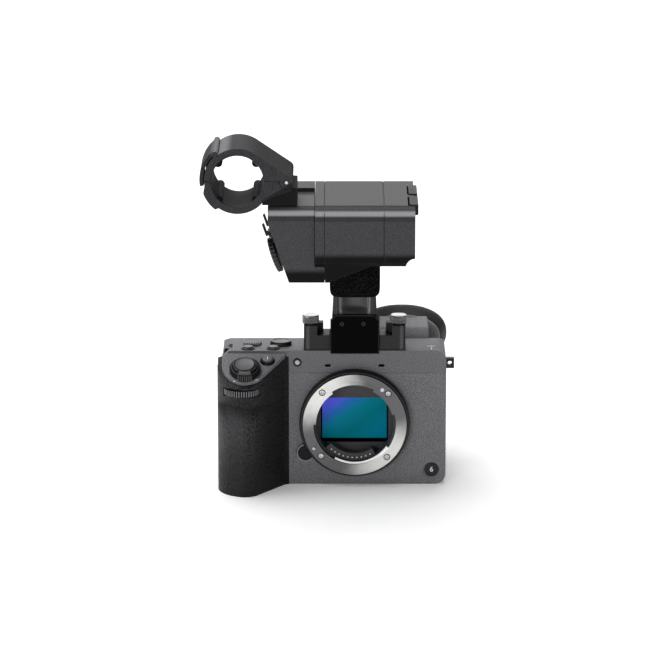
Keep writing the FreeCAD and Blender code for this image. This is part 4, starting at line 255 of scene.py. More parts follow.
def turned_steel(name, level, roughness=0.3):
    """Lathe-turned metal: fine tool marks, light smears, and edges brightened as wear and as a painted
    highlight.
    """
    steel = Paint(name, roughness=roughness, metallic=1.0)
    marks = steel.noise(0.00008, 1.0, place=steel.node("Mapping", {}, steel.place, Scale=(1, 1, 8)))
    smear = steel.noise(0.004, 3.0)
    soft, wear_and_glint = steel.edge_wear_and_glint(0.0003)
    tone = steel.mix(marks * 0.6 + smear * 0.4, grey(level * 0.8, 1.0), grey(level * 1.15, 1.0))
    steel.colour(wear_and_glint * 0.6, tone, grey(min(level * 1.5, 0.95), 1.0))
    steel.feed("Roughness", roughness + smear * 0.2 - wear_and_glint * 0.1)
    steel.bump(marks, 0.000004, soft)
    return steel


insert_steel = turned_steel("insert_steel", 0.55)
cover(insert_steel, "tripod_socket", "accessory_shoe")


# Grip covering: a moulded rubber sleeve glued round the grip's shell.
# Fine leather-like pebbles; raised parts are a little greyer and drier than the valleys.
grip_skin = Paint("grip_skin", roughness=0.55, Specular_IOR_Level=0.22)
grip_across, _, grip_height = grip_skin.coordinates()


def swell(x, z, wide, tall):
    """A soft hill of height 1 round a point: e to the minus sum of squared distances."""
    far = ((grip_across - x) / wide) ** 2.0 + ((grip_height - z) / tall) ** 2.0
    return (far * -1.0).math("EXPONENT")


pebble = grip_skin.cells(0.0011, "SMOOTH_F1")
wrinkle = grip_skin.noise(0.0022, 4.0, 0.65)
hide = (1.0 - pebble) * 0.7 + wrinkle * 0.6
hollow = swell(-0.064, 0.0525, 0.012, 0.0045) * -8.0 + swell(-0.0715, 0.036, 0.006, 0.014) * 6.0
# Painted shade, darker towards the bottom of the grip.
low = (0.042 - grip_height).between(0.0, 0.034) * 0.75
tone = grip_skin.mix(hide.between(0.4, 1.0), 0.006, 0.046)
# A painted highlight on the bulge below the dial, and painted shade in the hollow under the dial and on the
# inner flank.
bulge_highlight = swell(-0.0675, 0.0395, 0.007, 0.012)
shade_under_dial = swell(-0.064, 0.0525, 0.014, 0.0045)
inner_side_shade = (grip_across + 0.056).between(0.0, 0.009)
grip_skin.feed("Base Color", grip_skin.over(
    tone, (low, 0.004), (bulge_highlight * 0.45, 0.07), (shade_under_dial * 0.8, 0.003), (inner_side_shade * 0.7, 0.004)))
grip_skin.feed("Roughness", 0.42 + wrinkle * 0.25)
grip_skin.bump(hide + hollow, 0.0007)
cover(grip_skin, "grip_rubber")


# Release button, zoom lever and front dial of the grip.
# A dished satin disc in a black collar; the lever's tab is ribbed; the dial is milled all round. Their ribs
# carry a painted highlight on the crests.
def skin(name, grid, around=True):
    """A mesh over a grid of points (rows, columns, 3): four neighbours make a face, and the
    columns close into a ring. Repeated points merge, and faces are turned outwards."""
    rows, columns = grid.shape[:2]
    steps = np.arange(rows * columns).reshape(rows, columns)
    after = np.roll(steps, -1, axis=1) if around else steps[:, 1:]
    before = steps if around else steps[:, :-1]
    faces = np.stack([before[:-1], after[:-1], after[1:], before[1:]], axis=-1).reshape(-1, 4)
    mesh = bpy.data.meshes.new(name)
    mesh.from_pydata(grid.reshape(-1, 3), [], faces.tolist())
    form = bmesh.new()
    form.from_mesh(mesh)
    bmesh.ops.remove_doubles(form, verts=form.verts, dist=1e-7)
    bmesh.ops.recalc_face_normals(form, faces=form.faces)
    form.to_mesh(mesh)
    form.free()
    return mesh


def put(mesh, body, slot, paint, *stands_for, round_by=0.0, sharp=32):
    """Shows a finished mesh as a piece that rides on a body, with its edges rounded."""
    mesh.shade_smooth()
    mesh.set_sharp_from_angle(angle=math.radians(sharp))
    mesh.materials.append(paint.material)
    piece = bpy.data.objects.new(mesh.name, mesh)
    bpy.context.scene.collection.objects.link(piece)
    if round_by:
        bevel = piece.modifiers.new("rounding", "BEVEL")
        bevel.width = round_by
        bevel.segments = 2
        bevel.limit_method = "ANGLE"
        bevel.angle_limit = math.radians(sharp)
    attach(piece, body)
    if stands_for:
        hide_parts(*stands_for)


def axes(up):
    """Two directions square to an axis, the first as level as it can be."""
    up = np.array(Vector(up).normalized())
    side = np.cross(up, (0, 0, 1)) if abs(up[2]) < 0.9 else np.array((1.0, 0, 0))
    side = side - up * (side @ up)
    side /= np.linalg.norm(side)
    return side, np.cross(up, side), up


def turned(name, centre, up, profile, columns=96, relief=None):
    """A lathe form: each profile point (radius, height) runs round the axis at centre, and
    relief(angle, height) adds to the radius. Profiles start and end on the axis or meet."""
    side, other, up = axes(up)
    radius, height = np.array([point[:2] for point in profile], float).T[:, :, None]
    angle = np.linspace(0, 2 * np.pi, columns, endpoint=False)[None]
    radius = np.repeat(radius, columns, axis=1)
    if relief is not None:
        grip = np.array([point[2] if len(point) > 2 else 0 for point in profile], float)[:, None]
        radius = radius + grip * relief(angle, height)
    outward = np.cos(angle)[..., None] * side + np.sin(angle)[..., None] * other
    return skin(name, np.array(centre) + radius[..., None] * outward + height[..., None] * up)


def fill(points, steps):
    """Adds evenly spaced points along each straight run of a profile."""
    points = np.array(points, float)
    share = np.linspace(0, 1, steps, endpoint=False)[:, None]
    runs = [one + (two - one) * share for one, two in zip(points[:-1], points[1:])]
    return np.vstack(runs + [points[-1:]])


deck_tilt = math.radians(24.4)
front_face = -0.012
deck_edge = 0.0765
deck_up = (0, -math.sin(deck_tilt), math.cos(deck_tilt))


def on_deck(across, depth, lift=0.0):
    """A point over the sloping deck, lift metres along its normal."""
    height = deck_edge - (front_face + depth) * math.tan(deck_tilt)
    return np.array((-across, -depth, height)) + lift * np.array(deck_up)


satin_grey = Paint("satin_grey", roughness=0.36)
dust = satin_grey.noise(0.0006, 3.0)
haze = satin_grey.noise(0.005, 2.0)
satin_grey.colour(dust * 0.5 + haze * 0.5, 0.06, 0.11)
satin_grey.feed("Roughness", 0.3 + dust * 0.2)
satin_grey.bump(dust, 0.000006)

shutter = on_deck(0.061, 0.0262)
button = [(0, 0.0046), (0.0022, 0.00463), (0.0038, 0.00475), (0.0046, 0.0049), (0.005, 0.005),
          (0.0053, 0.0047), (0.0053, -0.003), (0, -0.003)]
put(turned("shutter_disc", shutter, deck_up, button), "shutter", "key_plastic", satin_grey, "shutter_button",
    round_by=0.0001)

# Both blacks carry a painted highlight on their edges, strongest on the glossy black.
milled_black = moulded("milled_black", 0.012, 0.0002, 0.000004, 0.3, 0.0003, 12.0, 0.5)
glossy_black = moulded("glossy_black", 0.004, 0.0003, 0.000002, 0.28, 0.0003, 50.0, 0.12)
collar = [(0.00545, 0.0002), (0.00545, 0.0042), (0.0057, 0.0044), (0.0063, 0.00435), (0.0066, 0.004),
          (0.0066, 0.0002), (0.00545, 0.0002)]
put(turned("shutter_collar", shutter, deck_up, collar), "camera_body", "black_metal", glossy_black)
lever = [(0.00672, 0.0003), (0.00672, 0.0029), (0.0071, 0.0031), (0.0081, 0.003), (0.0087, 0.0024),
         (0.0087, 0.0003), (0.00672, 0.0003)]
put(turned("zoom_lever_ring", shutter, deck_up, lever), "zoom_lever", "black_metal", glossy_black,
    "zoom_lever")


def crest_highlight_paint(name, centre, axis, valley, crest, low=0.004, high=0.3, roughness=0.3, gloss=0.5):
    """Black in the grooves and a painted highlight on the ribs: the tone rises with the distance from the
    axis, from valley to crest.
    the axis, from valley to crest."""
    paint = Paint(name, roughness=roughness, Specular_IOR_Level=gloss)
    proud = paint.reach(centre, axis).between(valley, crest)
    wear = paint.noise(0.0006, 2.0)
    bright = paint.mix(wear, high * 0.6, high * 1.4)
    paint.colour(proud, low, bright)
    paint.feed("Roughness", roughness + wear * 0.15)
    return paint


tab_paint = crest_highlight_paint("tab_paint", shutter, deck_up, 0.0107, 0.0112, 0.006, 0.11)


def capped(rows):
    """Closes a tube of loops by a point in the middle of its first loop and one in its last."""
    rows = np.array(rows)
    ends = [np.repeat(row.mean(axis=0)[None], rows.shape[1], axis=0) for row in (rows[0], rows[-1])]
    return np.concatenate([[ends[0]], rows, [ends[1]]])


def ribbed_tab(name, centre, up, middle, half_span, low, high, inner, outer, ribs):
    """A block bent round an axis: closed sections (radius, height) follow the angle, and the outer
    radius carries rounded ribs, the absolute cosine of the angle times their number."""
    side, other, up = axes(up)
    angles = np.linspace(middle - half_span, middle + half_span, ribs * 8 + 1)
    wave = np.abs(np.cos(np.linspace(0, ribs * np.pi, ribs * 8 + 1)))
    rows = []
    for angle, rib in zip(angles, wave):
        out = outer - 0.0008 * rib
        section = [(inner, low), (inner, high), (out - 0.0012, high), (out - 0.0004, high - 0.0003),
                   (out, high - 0.0009), (out, low + 0.0004), (out - 0.0005, low)]
        direction = math.cos(angle) * side + math.sin(angle) * other
        rows.append([np.array(centre) + radius * direction + height * up for radius, height in section])
    return skin(name, capped(rows))


side, other, _ = axes(deck_up)
down_deck = np.array((0, -math.cos(deck_tilt), -math.sin(deck_tilt)))
tab_middle = math.atan2(down_deck @ other, down_deck @ side)
tab = ribbed_tab("zoom_lever_tab", shutter, deck_up, tab_middle, math.radians(22), low=0.0003, high=0.0054,
                 inner=0.0073, outer=0.0114, ribs=7)
put(tab, "zoom_lever", "black_metal", tab_paint)

upward = (0, 0, 1)
front_dial_at = (-0.0627, -0.0289, 0.0575)


def milling(count, depth):
    """Rounded ribs: the radius falls by depth between count ribs, as a rectified cosine."""
    return lambda angle, height: -depth * (1 - np.abs(np.cos(angle * count / 2)) ** 0.7) + 0 * height


ribbed_black = crest_highlight_paint("ribbed_black", front_dial_at, upward, 0.0097, 0.01, 0.001, 0.22, gloss=0.1)
wheel = [(0, -0.0013), (0.0014, -0.0013), (0.0014, 0), (0.0095, 0), (0.01, 0.0005, 1), (0.01, 0.0036, 1),
         (0.0095, 0.0041), (0.0014, 0.0041), (0.0014, 0.0054), (0, 0.0054)]
put(turned("front_dial_wheel", front_dial_at, upward, wheel, 44 * 10, milling(44, 0.0009)), "front_dial",
    "black_metal", ribbed_black, "front_dial")


# Keys with their painted numbers, on the deck, on the top cover and at the foot of the front panel.
# Small domed caps in satin grey or black; numbers are printed in white.
black_key = moulded("black_key", 0.018, 0.0002, 0.000003, 0.3)
key_cap = [(0, 0.0), (0.5, 0.0), (0.8, -0.05), (0.95, -0.2), (1.0, -0.45)]


def domed_key(name, centre, up, radius, rise, sink, body, paint, stands_for, dome=0.5):
    """A round cap whose top falls away towards its rim."""
    profile = [(radius * share, rise + fall * dome * 0.001) for share, fall in key_cap]
    profile += [(radius, -sink), (0, -sink)]
    cap = turned(name, centre, up, profile, 64)
    put(cap, body, "key_plastic", paint, stands_for, round_by=0.00008)


key_one = (0.0486, 0.0185)
domed_key("key_one_cap", on_deck(*key_one), deck_up, 0.0029, 0.002, 0.0015, "button_one", satin_grey,
          "button_one")
cover_top = 0.0778
top_keys = {"left": (-0.0597, -0.0074, cover_top), "right": (-0.0456, -0.0074, cover_top)}
for side, key_at in top_keys.items():
    domed_key(f"top_key_{side}_cap", key_at, upward, 0.0027, 0.0016, 0.0026, f"top_key_{side}", satin_grey,
              f"top_key_{side}")


def key_collar(name, centre, up, cone):
    """A low black cone round a key, drawn by (radius, height)."""
    put(turned(name, centre, up, cone, 64), "camera_body", "black_metal", glossy_black)


for side, key_at in top_keys.items():
    key_collar(f"top_key_{side}_collar", key_at, upward, [
        (0.00285, 0.0), (0.0029, 0.00085), (0.0031, 0.0009), (0.00365, 0.00045), (0.0039, 0.0),
        (0.00285, 0.0)])
key_collar("key_one_collar", on_deck(*key_one), deck_up, [
    (0.00305, 0.0), (0.0031, 0.00115), (0.0034, 0.0012), (0.0039, 0.0006), (0.0042, 0.0), (0.00305, 0.0)])

print_white = Paint("print_white", roughness=0.6)
ink = print_white.noise(0.0004, 3.0)
print_white.colour(ink, 0.7, 0.92)
print_white.bump(ink, 0.000003)


def printed(name, text, centre, up, tall, body):
    """A number printed on a key: a font outline laid flat and moved onto the key's face."""
    curve = bpy.data.curves.new(name, "FONT")
    curve.body = text
    curve.align_x = "CENTER"
    curve.align_y = "CENTER"
    curve.size = tall * 1.4
    curve.extrude = 0.00004
    curve.offset = 0.00007
    letter = bpy.data.objects.new(name, curve)
    mesh = bpy.data.meshes.new_from_object(letter)
    bpy.data.objects.remove(letter)
    flat = np.zeros(len(mesh.vertices) * 3)
    mesh.vertices.foreach_get("co", flat)
    flat = flat.reshape(-1, 3)
    up = np.array(Vector(up).normalized())
    across = np.array((1.0, 0, 0))
    upright = np.cross(up, across)
    place = np.array(centre) + flat[:, :1] * across + flat[:, 1:2] * upright + flat[:, 2:] * up
    mesh.vertices.foreach_set("co", place.ravel())
    mesh.name = name
    mesh.materials.clear()
    put(mesh, body, "key_plastic", print_white)


printed("number_one", "1", on_deck(*key_one, 0.00205), deck_up, 0.0021, "button_one")
forward = (0, -1, 0)
key_six_at = np.array((0.0434, front_face, 0.0084))
domed_key("key_six_cap", key_six_at, forward, 0.004, -0.0004, 0.0012, "button_six", black_key,
          "front_button_six", dome=0.3)
printed("number_six", "6", key_six_at + (0, 0.00035, 0), forward, 0.0029, "button_six")


# Small printed marks: two beside the zoom lever and a focal-plane sign on the cover.
# Thin white ink, each a flat lens-shaped drop of paint.
def facing(mesh, way):
    """Turns an open sheet so that its faces look along a direction."""
    if mesh.polygons[len(mesh.polygons) // 2].normal.dot(Vector(way)) < 0:
        mesh.flip_normals()
    return mesh


def ink_drop(name, centre, up, long, wide, turn=0.0):
    """An ellipse of ink: rings of growing radius whose height falls off as one minus radius squared."""
    side, other, up = axes(up)
    angle = np.linspace(0, 2 * np.pi, 24, endpoint=False)[None]
    ring = np.linspace(0, 1, 4)[:, None]
    u, v = ring * np.cos(angle) * long / 2, ring * np.sin(angle) * wide / 2
    rise = 0.00005 * (1 - ring ** 2) + 0 * angle
    one, two = u * math.cos(turn) - v * math.sin(turn), u * math.sin(turn) + v * math.cos(turn)
    grid = np.array(centre) + one[..., None] * side + two[..., None] * other + rise[..., None] * np.array(up)
    put(facing(skin(name, grid), up), "camera_body", "key_plastic", print_white, sharp=80)


ink_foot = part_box("top_cover")[1].z + 0.00002
ink_drop("plane_mark_bar", (0.0427, -0.0047, ink_foot), upward, 0.0048, 0.0010)
ink_drop("plane_mark_stem", (0.0430, -0.0100, ink_foot), upward, 0.0007, 0.0062)
ink_drop("zoom_mark_left", on_deck(0.0668, 0.0345, 0.00003), deck_up, 0.0012, 0.0007)
ink_drop("zoom_mark_right", on_deck(0.0545, 0.0335, 0.00003), deck_up, 0.0022, 0.0006, turn=0.3)


# Mode dial and rear dial on the top cover.
# A flat turned cap in a bevelled rim, and a small finely ribbed wheel with a painted highlight on its rib
# crests.
mode = [(0, 0.0021), (0.0044, 0.0021), (0.0047, 0.0024), (0.0055, 0.0024), (0.0061, 0.0014), (0.0061, 0.0003),
        (0.002, 0.0003), (0.002, -0.003), (0, -0.003)]
put(turned("mode_dial_cap", (-0.0414, 0.0017, cover_top), upward, mode), "mode_dial", "black_metal",
    milled_black, "mode_dial", round_by=0.0001)
ribbed = [(0, 0.0019), (0.0046, 0.0019), (0.0054, 0.0016, 1), (0.0054, 0.0004, 1), (0.002, 0.0003),
          (0.002, -0.003), (0, -0.003)]
rear_dial_at = (-0.0575, 0.002, cover_top)
rear_dial_ribs = crest_highlight_paint("rear_dial_ribs", rear_dial_at, upward, 0.0042, 0.0052)
put(turned("rear_dial_wheel", rear_dial_at, upward, ribbed, 22 * 10, milling(22, 0.0014)), "rear_dial",
    "black_metal", rear_dial_ribs, "rear_dial")


# Control wheel on the back: a flat ring round a plain middle.
# Milled black plastic, pressed on a spindle; the rim is ribbed for the thumb.
back_face = 0.038
wheel_low, wheel_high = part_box("control_wheel")
wheel_at = ((wheel_low.x + wheel_high.x) / 2, back_face, (wheel_low.z + wheel_high.z) / 2)
thick = wheel_high.y - back_face
ring = [(0, thick - 0.0003), (0.0053, thick - 0.0003), (0.0056, thick - 0.001), (0.0062, thick),
        (0.0112, thick), (0.012, thick - 0.0007, 1), (0.012, 0.0004, 1), (0.002, 0.0003), (0.002, -0.0015),
        (0, -0.0015)]
put(turned("control_wheel_ring", wheel_at, (0, 1, 0), ring, 40 * 6, milling(40, 0.0004)), "control_wheel",
    "black_metal", milled_black, "control_wheel")


# Lens mount: a turned ring with three claws, four cross-slotted screws, a lock pin and a white index dot.
# The face is turned: fine circular marks tilt its normals and fan the light out, and two bright sweeps are a
# painted reflection in its colour; the lower claws carry a painted highlight along their edge.
axis_height = 0.0363
flange_face = -0.018
marks_per_metre = 40000.0
mount_steel = Paint("mount_steel", roughness=0.34, metallic=1.0)
centred = mount_steel.node("Mapping", {}, mount_steel.place, Location=(0, 0, -axis_height))
across, _, height = mount_steel.coordinates(centred)
radius = (across * across + height * height) ** 0.5
mark = (radius * marks_per_metre).math("FLOOR")
ring_lines = mount_steel.node("TexWhiteNoise", {"noise_dimensions": "1D"}, W=mark, output="Value")
sideways = mount_steel.node("CombineXYZ", {}, across, 0.0, height)
outward = mount_steel.vector("NORMALIZE", sideways)
plain = mount_steel.node("NewGeometry", {}, output="Normal")
tilt = mount_steel.vector("SCALE", outward, Scale=(ring_lines - 0.5) * 0.3)
tilted = mount_steel.vector("ADD", plain, tilt)
mount_steel.feed("Normal", mount_steel.vector("NORMALIZE", tilted))
smear = mount_steel.noise(0.006, 3.0)
squared = radius * radius
double_cosine = (across * across - height * height) / squared
double_sine = across * height * 2.0 / squared
# Painted reflection: two bright sweeps set by twice the angle round the lens axis.
sweep = (double_cosine * -0.1 - double_sine + smear * 0.5 - 0.25).between(-0.55, 0.95)
lit = mount_steel.mix(ring_lines * 0.4, grey(0.72, 0.97), grey(0.6, 0.97))
tone = mount_steel.mix(sweep, grey(0.13, 1.03), lit)
claw_radius = 0.02285
# Painted highlight along the edge of the lower claws.
lower_claw_highlight = (claw_radius - radius).between(0.0, 0.0002) * (height * -1.0).between(0.004, 0.012)
mount_steel.colour(lower_claw_highlight, tone, grey(0.9, 1.0))
mount_steel.feed("Roughness", 0.24 + smear * 0.12)
cover(mount_steel, "lens_mount_ring")
cover(insert_steel, "lens_lock_pin")


def cross_screw(name, centre, up, radius, thick, paint, stands_for=(), turn=0.0, deep=0.0007, slot=0.2):
    """A screw head: a square grid squeezed into a disc, whose height drops inside a cross of two
    slots, as wide as slot times the diameter, and falls off at the rim into a skirt."""
    side, other, up = axes(up)
    steps = np.linspace(-1, 1, 49)
    u, v = np.meshgrid(steps, steps)
    disc_u, disc_v = u * np.sqrt(1 - v * v / 2), v * np.sqrt(1 - u * u / 2)
    far = np.hypot(disc_u, disc_v)
    turned_u = disc_u * math.cos(turn) - disc_v * math.sin(turn)
    turned_v = disc_u * math.sin(turn) + disc_v * math.cos(turn)
    narrow = np.minimum(np.abs(turned_u), np.abs(turned_v))
    long = np.maximum(np.abs(turned_u), np.abs(turned_v))
    cut = (narrow < slot) & (long < 0.62)
    rise = thick - deep * cut - 0.15 * radius * np.clip((far - 0.8) / 0.2, 0, 1) ** 2
    rise = np.where(far > 0.985, -0.0002, rise)
    spread = (disc_u * radius)[..., None] * side + (disc_v * radius)[..., None] * other
    sheet = skin(name, np.array(centre) + spread + rise[..., None] * up, around=False)
    put(facing(sheet, up), "camera_body", "mount_steel", paint, *stands_for, sharp=25)


def on_ring(radius, degrees, sunk=0.0):
    """A point on the face of the ring, at a radius and an angle round the lens axis."""
    angle = math.radians(degrees)
    return (radius * math.cos(angle), flange_face + sunk, axis_height + radius * math.sin(angle))


screw_bright = turned_steel("screw_bright", 0.7)
screw_radius, screw_sunk = 0.00155, 0.0013
gap = [(screw_radius, 0.00125), (0.00158, 0.00136), (0.00185, 0.00136), (0.0019, 0.0012),
       (screw_radius, 0.00125)]
for number in range(4):
    spot = on_ring(0.0261, 44 + 90 * number, screw_sunk)
    cross_screw(f"mount_screw_{number}", spot, forward, screw_radius, screw_sunk, screw_bright,
                ("mount_screws",), turn=0.5 + number)
    put(turned(f"mount_screw_{number}_edge", spot, forward, gap, 40), "camera_body", "mount_steel",
        glossy_black)
index = [(0, 0.00006), (0.00105, 0.00006), (0.00115, -0.0001), (0, -0.0001)]
put(turned("index_dot", on_ring(0.0255, 52.8), forward, index, 40), "camera_body", "mount_steel", print_white)
# The surround and the strap lugs carry a painted highlight on their edges.
black_anodised = moulded("black_anodised", 0.01, 0.00025, 0.000004, 0.34, 0.0004, 14.0, 0.3)
cover(black_anodised, "mount_surround", "strap_lugs")
# The release button is black with a painted highlight round its rim.
release_at = (-0.0275, -0.014, 0.0188)
release_black = crest_highlight_paint("release_black", release_at, forward, 0.0042, 0.0047, low=0.014, gloss=0.1)
cover(release_black, "lens_release_button")


# Throat: matt baffle frame, contact strip with gilt pins, and the sensor on its stage.
# The image area is a coated glass stack; its violet at one corner and teal elsewhere are a painted
# reflection, and it glows faintly by emission.
baffle_black = moulded("baffle_black", 0.065, 0.0004, 0.00001, 0.6, 0.0003, 2.5, 0.2)
cover(baffle_black, "throat_frame", "contact_block")
gilt = Paint("gilt", roughness=0.25, metallic=1.0)
rub = gilt.noise(0.0003, 2.0)
gilt.colour(rub, (0.42, 0.39, 0.32), (0.62, 0.58, 0.48))
gilt.feed("Roughness", 0.2 + rub * 0.15)
cover(gilt, "contact_pins")
cover(turned_steel("stage_alloy", 0.3, 0.45), "sensor_stage")
cover(moulded("board_lacquer", 0.03, 0.0008, 0.000006, 0.35), "main_board")

# The coating's colours are a painted reflection, and the image area glows by a faint emission.
sensor_glass = Paint("sensor_glass", roughness=0.3, Specular_IOR_Level=0.02, Emission_Strength=0.33)
x, y, z = sensor_glass.coordinates()
image_wide, image_high = 0.036, 0.024
image_top = axis_height + image_high / 2
slant = (x + image_wide / 2) / image_wide * 0.62 - (z - image_top) / image_high * 0.55
stack = sensor_glass.noise(0.006, 1.0)
coating_reflection_tint = sensor_glass.node("ValToRGB", {"stops": [
    (0.08, (0.11, 0.11, 0.78)), (0.22, (0.08, 0.1, 0.66)), (0.34, (0.02, 0.12, 0.42)),
    (0.5, (0.002, 0.16, 0.23)), (0.75, (0.0, 0.13, 0.17)), (1.0, (0.0, 0.155, 0.24))]}, slant + stack * 0.06)
half_wide, half_high = image_wide / 2 + 0.0003, image_high / 2 + 0.0003
image_area = (half_wide - x.math("ABSOLUTE")).between(0.0, 0.0001) * (-0.0004 - y).between(0.0, 0.0001)
image_area = image_area * (half_high - (z - axis_height).math("ABSOLUTE")).between(0.0, 0.0001)
sensor_glass.colour(image_area, 0.004, coating_reflection_tint)
sensor_glass.feed("Emission Color", sensor_glass.mix(image_area, 0.0, coating_reflection_tint))
cover(sensor_glass, "image_sensor")


# Tally lamp beside the top seam, and the two slots of the built-in microphones.
# A dark bezel round a domed milky lens; each slot has a black foam pad behind it.
lamp_at = (-0.03205, front_face, 0.07093)
bezel = [(0.0014, 0.0), (0.0016, 0.0003), (0.0022, 0.00035), (0.0024, 0.0001), (0.0024, -0.0008),
         (0.0014, -0.0008), (0.0014, 0.0)]
put(turned("lamp_bezel", lamp_at, forward, bezel, 64), "camera_body", "black_metal", black_anodised)
milky = Paint("milky_lens", roughness=0.25, Subsurface_Weight=0.2)
glow = milky.noise(0.001, 2.0)
milky.colour(glow, grey(0.6, 0.97), grey(0.8, 0.97))
lens = [(0, 0.0003), (0.0007, 0.00025), (0.0012, 0.0001), (0.00145, -0.0002), (0, -0.0002)]
put(turned("lamp_lens", lamp_at, forward, lens, 48), "camera_body", "key_plastic", milky)


foam_black = moulded("foam_black", 0.003, 0.0004, 0.00004, 0.8, gloss=0.02)
slot_height = 0.0692


def superellipse(wide, tall, power, columns=128):
    """An oval that grows squarer with its power: the cosine and the sine of the angle, each to the
    power 2/power, times half the width and half the height."""
    angle = np.linspace(0, 2 * np.pi, columns, endpoint=False)
    across = wide * np.sign(np.cos(angle)) * np.abs(np.cos(angle)) ** (2 / power)
    height = tall * np.sign(np.sin(angle)) * np.abs(np.sin(angle)) ** (2 / power)
    return across, height


for side, across in (("left", -0.015), ("right", 0.015)):
    slot_floor = node["top_cover"].ray_cast((across, -0.1, slot_height), (0, 1, 0))[1].y
    ring = np.linspace(0, 1, 5)[:, None]
    u, v = superellipse(0.00172, 0.00077, 4.0, 40)
    bulge = 0.0001 + 0.0002 * (1 - ring ** 2) + 0 * u
    grid = np.stack([across + ring * u, slot_floor - bulge, slot_height + ring * v], axis=-1)
    pad = facing(skin(f"slot_foam_{side}", grid), forward)
    put(pad, "camera_body", "soft_rubber", foam_black, sharp=80)


# Viewfinder: a boxy housing on a tilting axle, with a soft oval rubber cup at the back.
# The housing is painted plastic and the lens coated glass; the cup is matt rubber with a rolled lip.
finder_plastic = sprinkled_paint("finder_plastic", 0.15, 0.0005, 0.00001)
cover(finder_plastic, "evf_housing")
eye_glass = Paint("eye_glass", roughness=0.05, Coat_Weight=1.0, Coat_Roughness=0.02)
film = eye_glass.noise(0.01, 1.0)
eye_glass.colour(film, (0.006, 0.006, 0.012), (0.02, 0.012, 0.035))
cover(eye_glass, "eyepiece_lens")

soft_rubber = Paint("soft_rubber", roughness=0.6, Specular_IOR_Level=0.35)
bloom = soft_rubber.noise(0.003, 3.0)
pores = soft_rubber.cells(0.00035)
soft_rubber.colour(bloom * 0.6 + pores * 0.4, 0.008, 0.02)
soft_rubber.feed("Roughness", 0.5 + bloom * 0.2)
soft_rubber.bump(pores, 0.00001)
cup_middle = (0.0276, 0.0695)


def oval_tube(path):
    """Loops of an oval round the finder's axis, one for each (depth, half width, half height)."""
    rows = []
    for depth, wide, high in path:
        across, height = superellipse(wide, high, 2.25)
        rows.append(np.stack([cup_middle[0] + across, depth + 0 * across, cup_middle[1] + height], axis=-1))
    return np.array(rows)


cup_path = [
    (0.0502, 0.0120, 0.0068), (0.0502, 0.0210, 0.0114), (0.0520, 0.0226, 0.0130), (0.0545, 0.0238, 0.0142),
    (0.0570, 0.0250, 0.0154), (0.0592, 0.0258, 0.0162), (0.0612, 0.0260, 0.0164), (0.0630, 0.0256, 0.0160),
    (0.0635, 0.0247, 0.0151), (0.0633, 0.0238, 0.0142), (0.0620, 0.0232, 0.0136), (0.0590, 0.0222, 0.0126),
    (0.0560, 0.0200, 0.0104), (0.0530, 0.0120, 0.0068), (0.0502, 0.0120, 0.0068)]
flange_path = [
    (0.0462, 0.0140, 0.0075), (0.0464, 0.0192, 0.0104), (0.0470, 0.0212, 0.0124), (0.0480, 0.0218, 0.0130),
    (0.0502, 0.0219, 0.0131), (0.0504, 0.0140, 0.0075), (0.0462, 0.0140, 0.0075)]
put(skin("eyepiece_flange", oval_tube(flange_path)), "viewfinder", "black_plastic", finder_plastic, sharp=50)
put(skin("eyecup_rubber", oval_tube(cup_path)), "viewfinder", "soft_rubber", soft_rubber, "eyecup", sharp=60)


# Screen on its arm at the back: matt black plastic with a dark glass over the display.
# The glass is one sheet glued into the recess of the frame, with rounded corners.
cover(black_plastic, "screen_arm", "screen_panel")
pane_middle, pane_half = (0.0033, 0.02855), (0.0333, 0.0187)
pane_back = node["screen_panel"].ray_cast((pane_middle[0], 0.2, pane_middle[1]), forward)[1].y
ring = np.concatenate([np.linspace(0, 0.985, 8), [1.0, 1.0]])[:, None]
u, v = superellipse(*pane_half, 12.5, 96)
rise = np.array([0.0004] * 8 + [0.0003, -0.0001])[:, None] + 0 * u
pane_grid = np.stack([pane_middle[0] + ring * u, pane_back + rise, pane_middle[1] + ring * v], axis=-1)
screen_film = Paint("screen_film", roughness=0.22, Specular_IOR_Level=0.35)
film = screen_film.noise(0.012, 2.0)
screen_film.colour(film, 0.003, 0.008)
screen_film.feed("Roughness", 0.2 + film * 0.06)
put(facing(skin("screen_glass", pane_grid), (0, 1, 0)), "screen", "eye_glass", screen_film, sharp=30)


# Handle foot and its two thumb screws.
# A machined black anodised beam between two posts, with a painted highlight down each post and painted shade
# on their outer rims and at its foot; the screws are bare steel with a diamond knurl, with painted shade in
# its valleys.
beam_black = Paint("beam_black", roughness=0.42, Specular_IOR_Level=0.18)
across, _, height = beam_black.coordinates()
aside = across.math("ABSOLUTE")
pits = beam_black.cells(0.0005)
soft, wear_and_glint = beam_black.edge_wear_and_glint(0.0008)
lit_at, lit_half = 0.0262, 0.0013
rim_starts, foot_ends = 0.0272, 0.0792
# Painted highlight down each post, painted shade on the rim outside it and at the foot.
painted_streak = (1.0 - ((aside - lit_at) / lit_half) ** 2.0).between(0.0, 1.0)
shade = (aside - rim_starts).between(0.0, 0.0006)
foot = (foot_ends - height).between(0.0, 0.0009)
tone = beam_black.mix(pits.between(0.1, 0.7), 0.016, 0.03)
beam_black.feed("Base Color", beam_black.over(
    tone, (painted_streak * 0.7, 0.1), (wear_and_glint * 0.5, 0.12), (shade * 0.8, 0.008), (foot * 0.85, 0.004)))
beam_black.feed("Roughness", 0.4 + pits * 0.12)
beam_black.bump(pits, 0.000012, soft)
cover(beam_black, "handle_base")


def diamonds(count, pitch, depth):
    """Crossed knurling: two sets of slanting waves multiplied, so that little pyramids stand proud."""
    def relief(angle, height):
        one = np.cos(angle * count / 2 + height * np.pi / pitch)
        two = np.cos(angle * count / 2 - height * np.pi / pitch)
        return -depth * (1 - np.abs(one * two))
    return relief


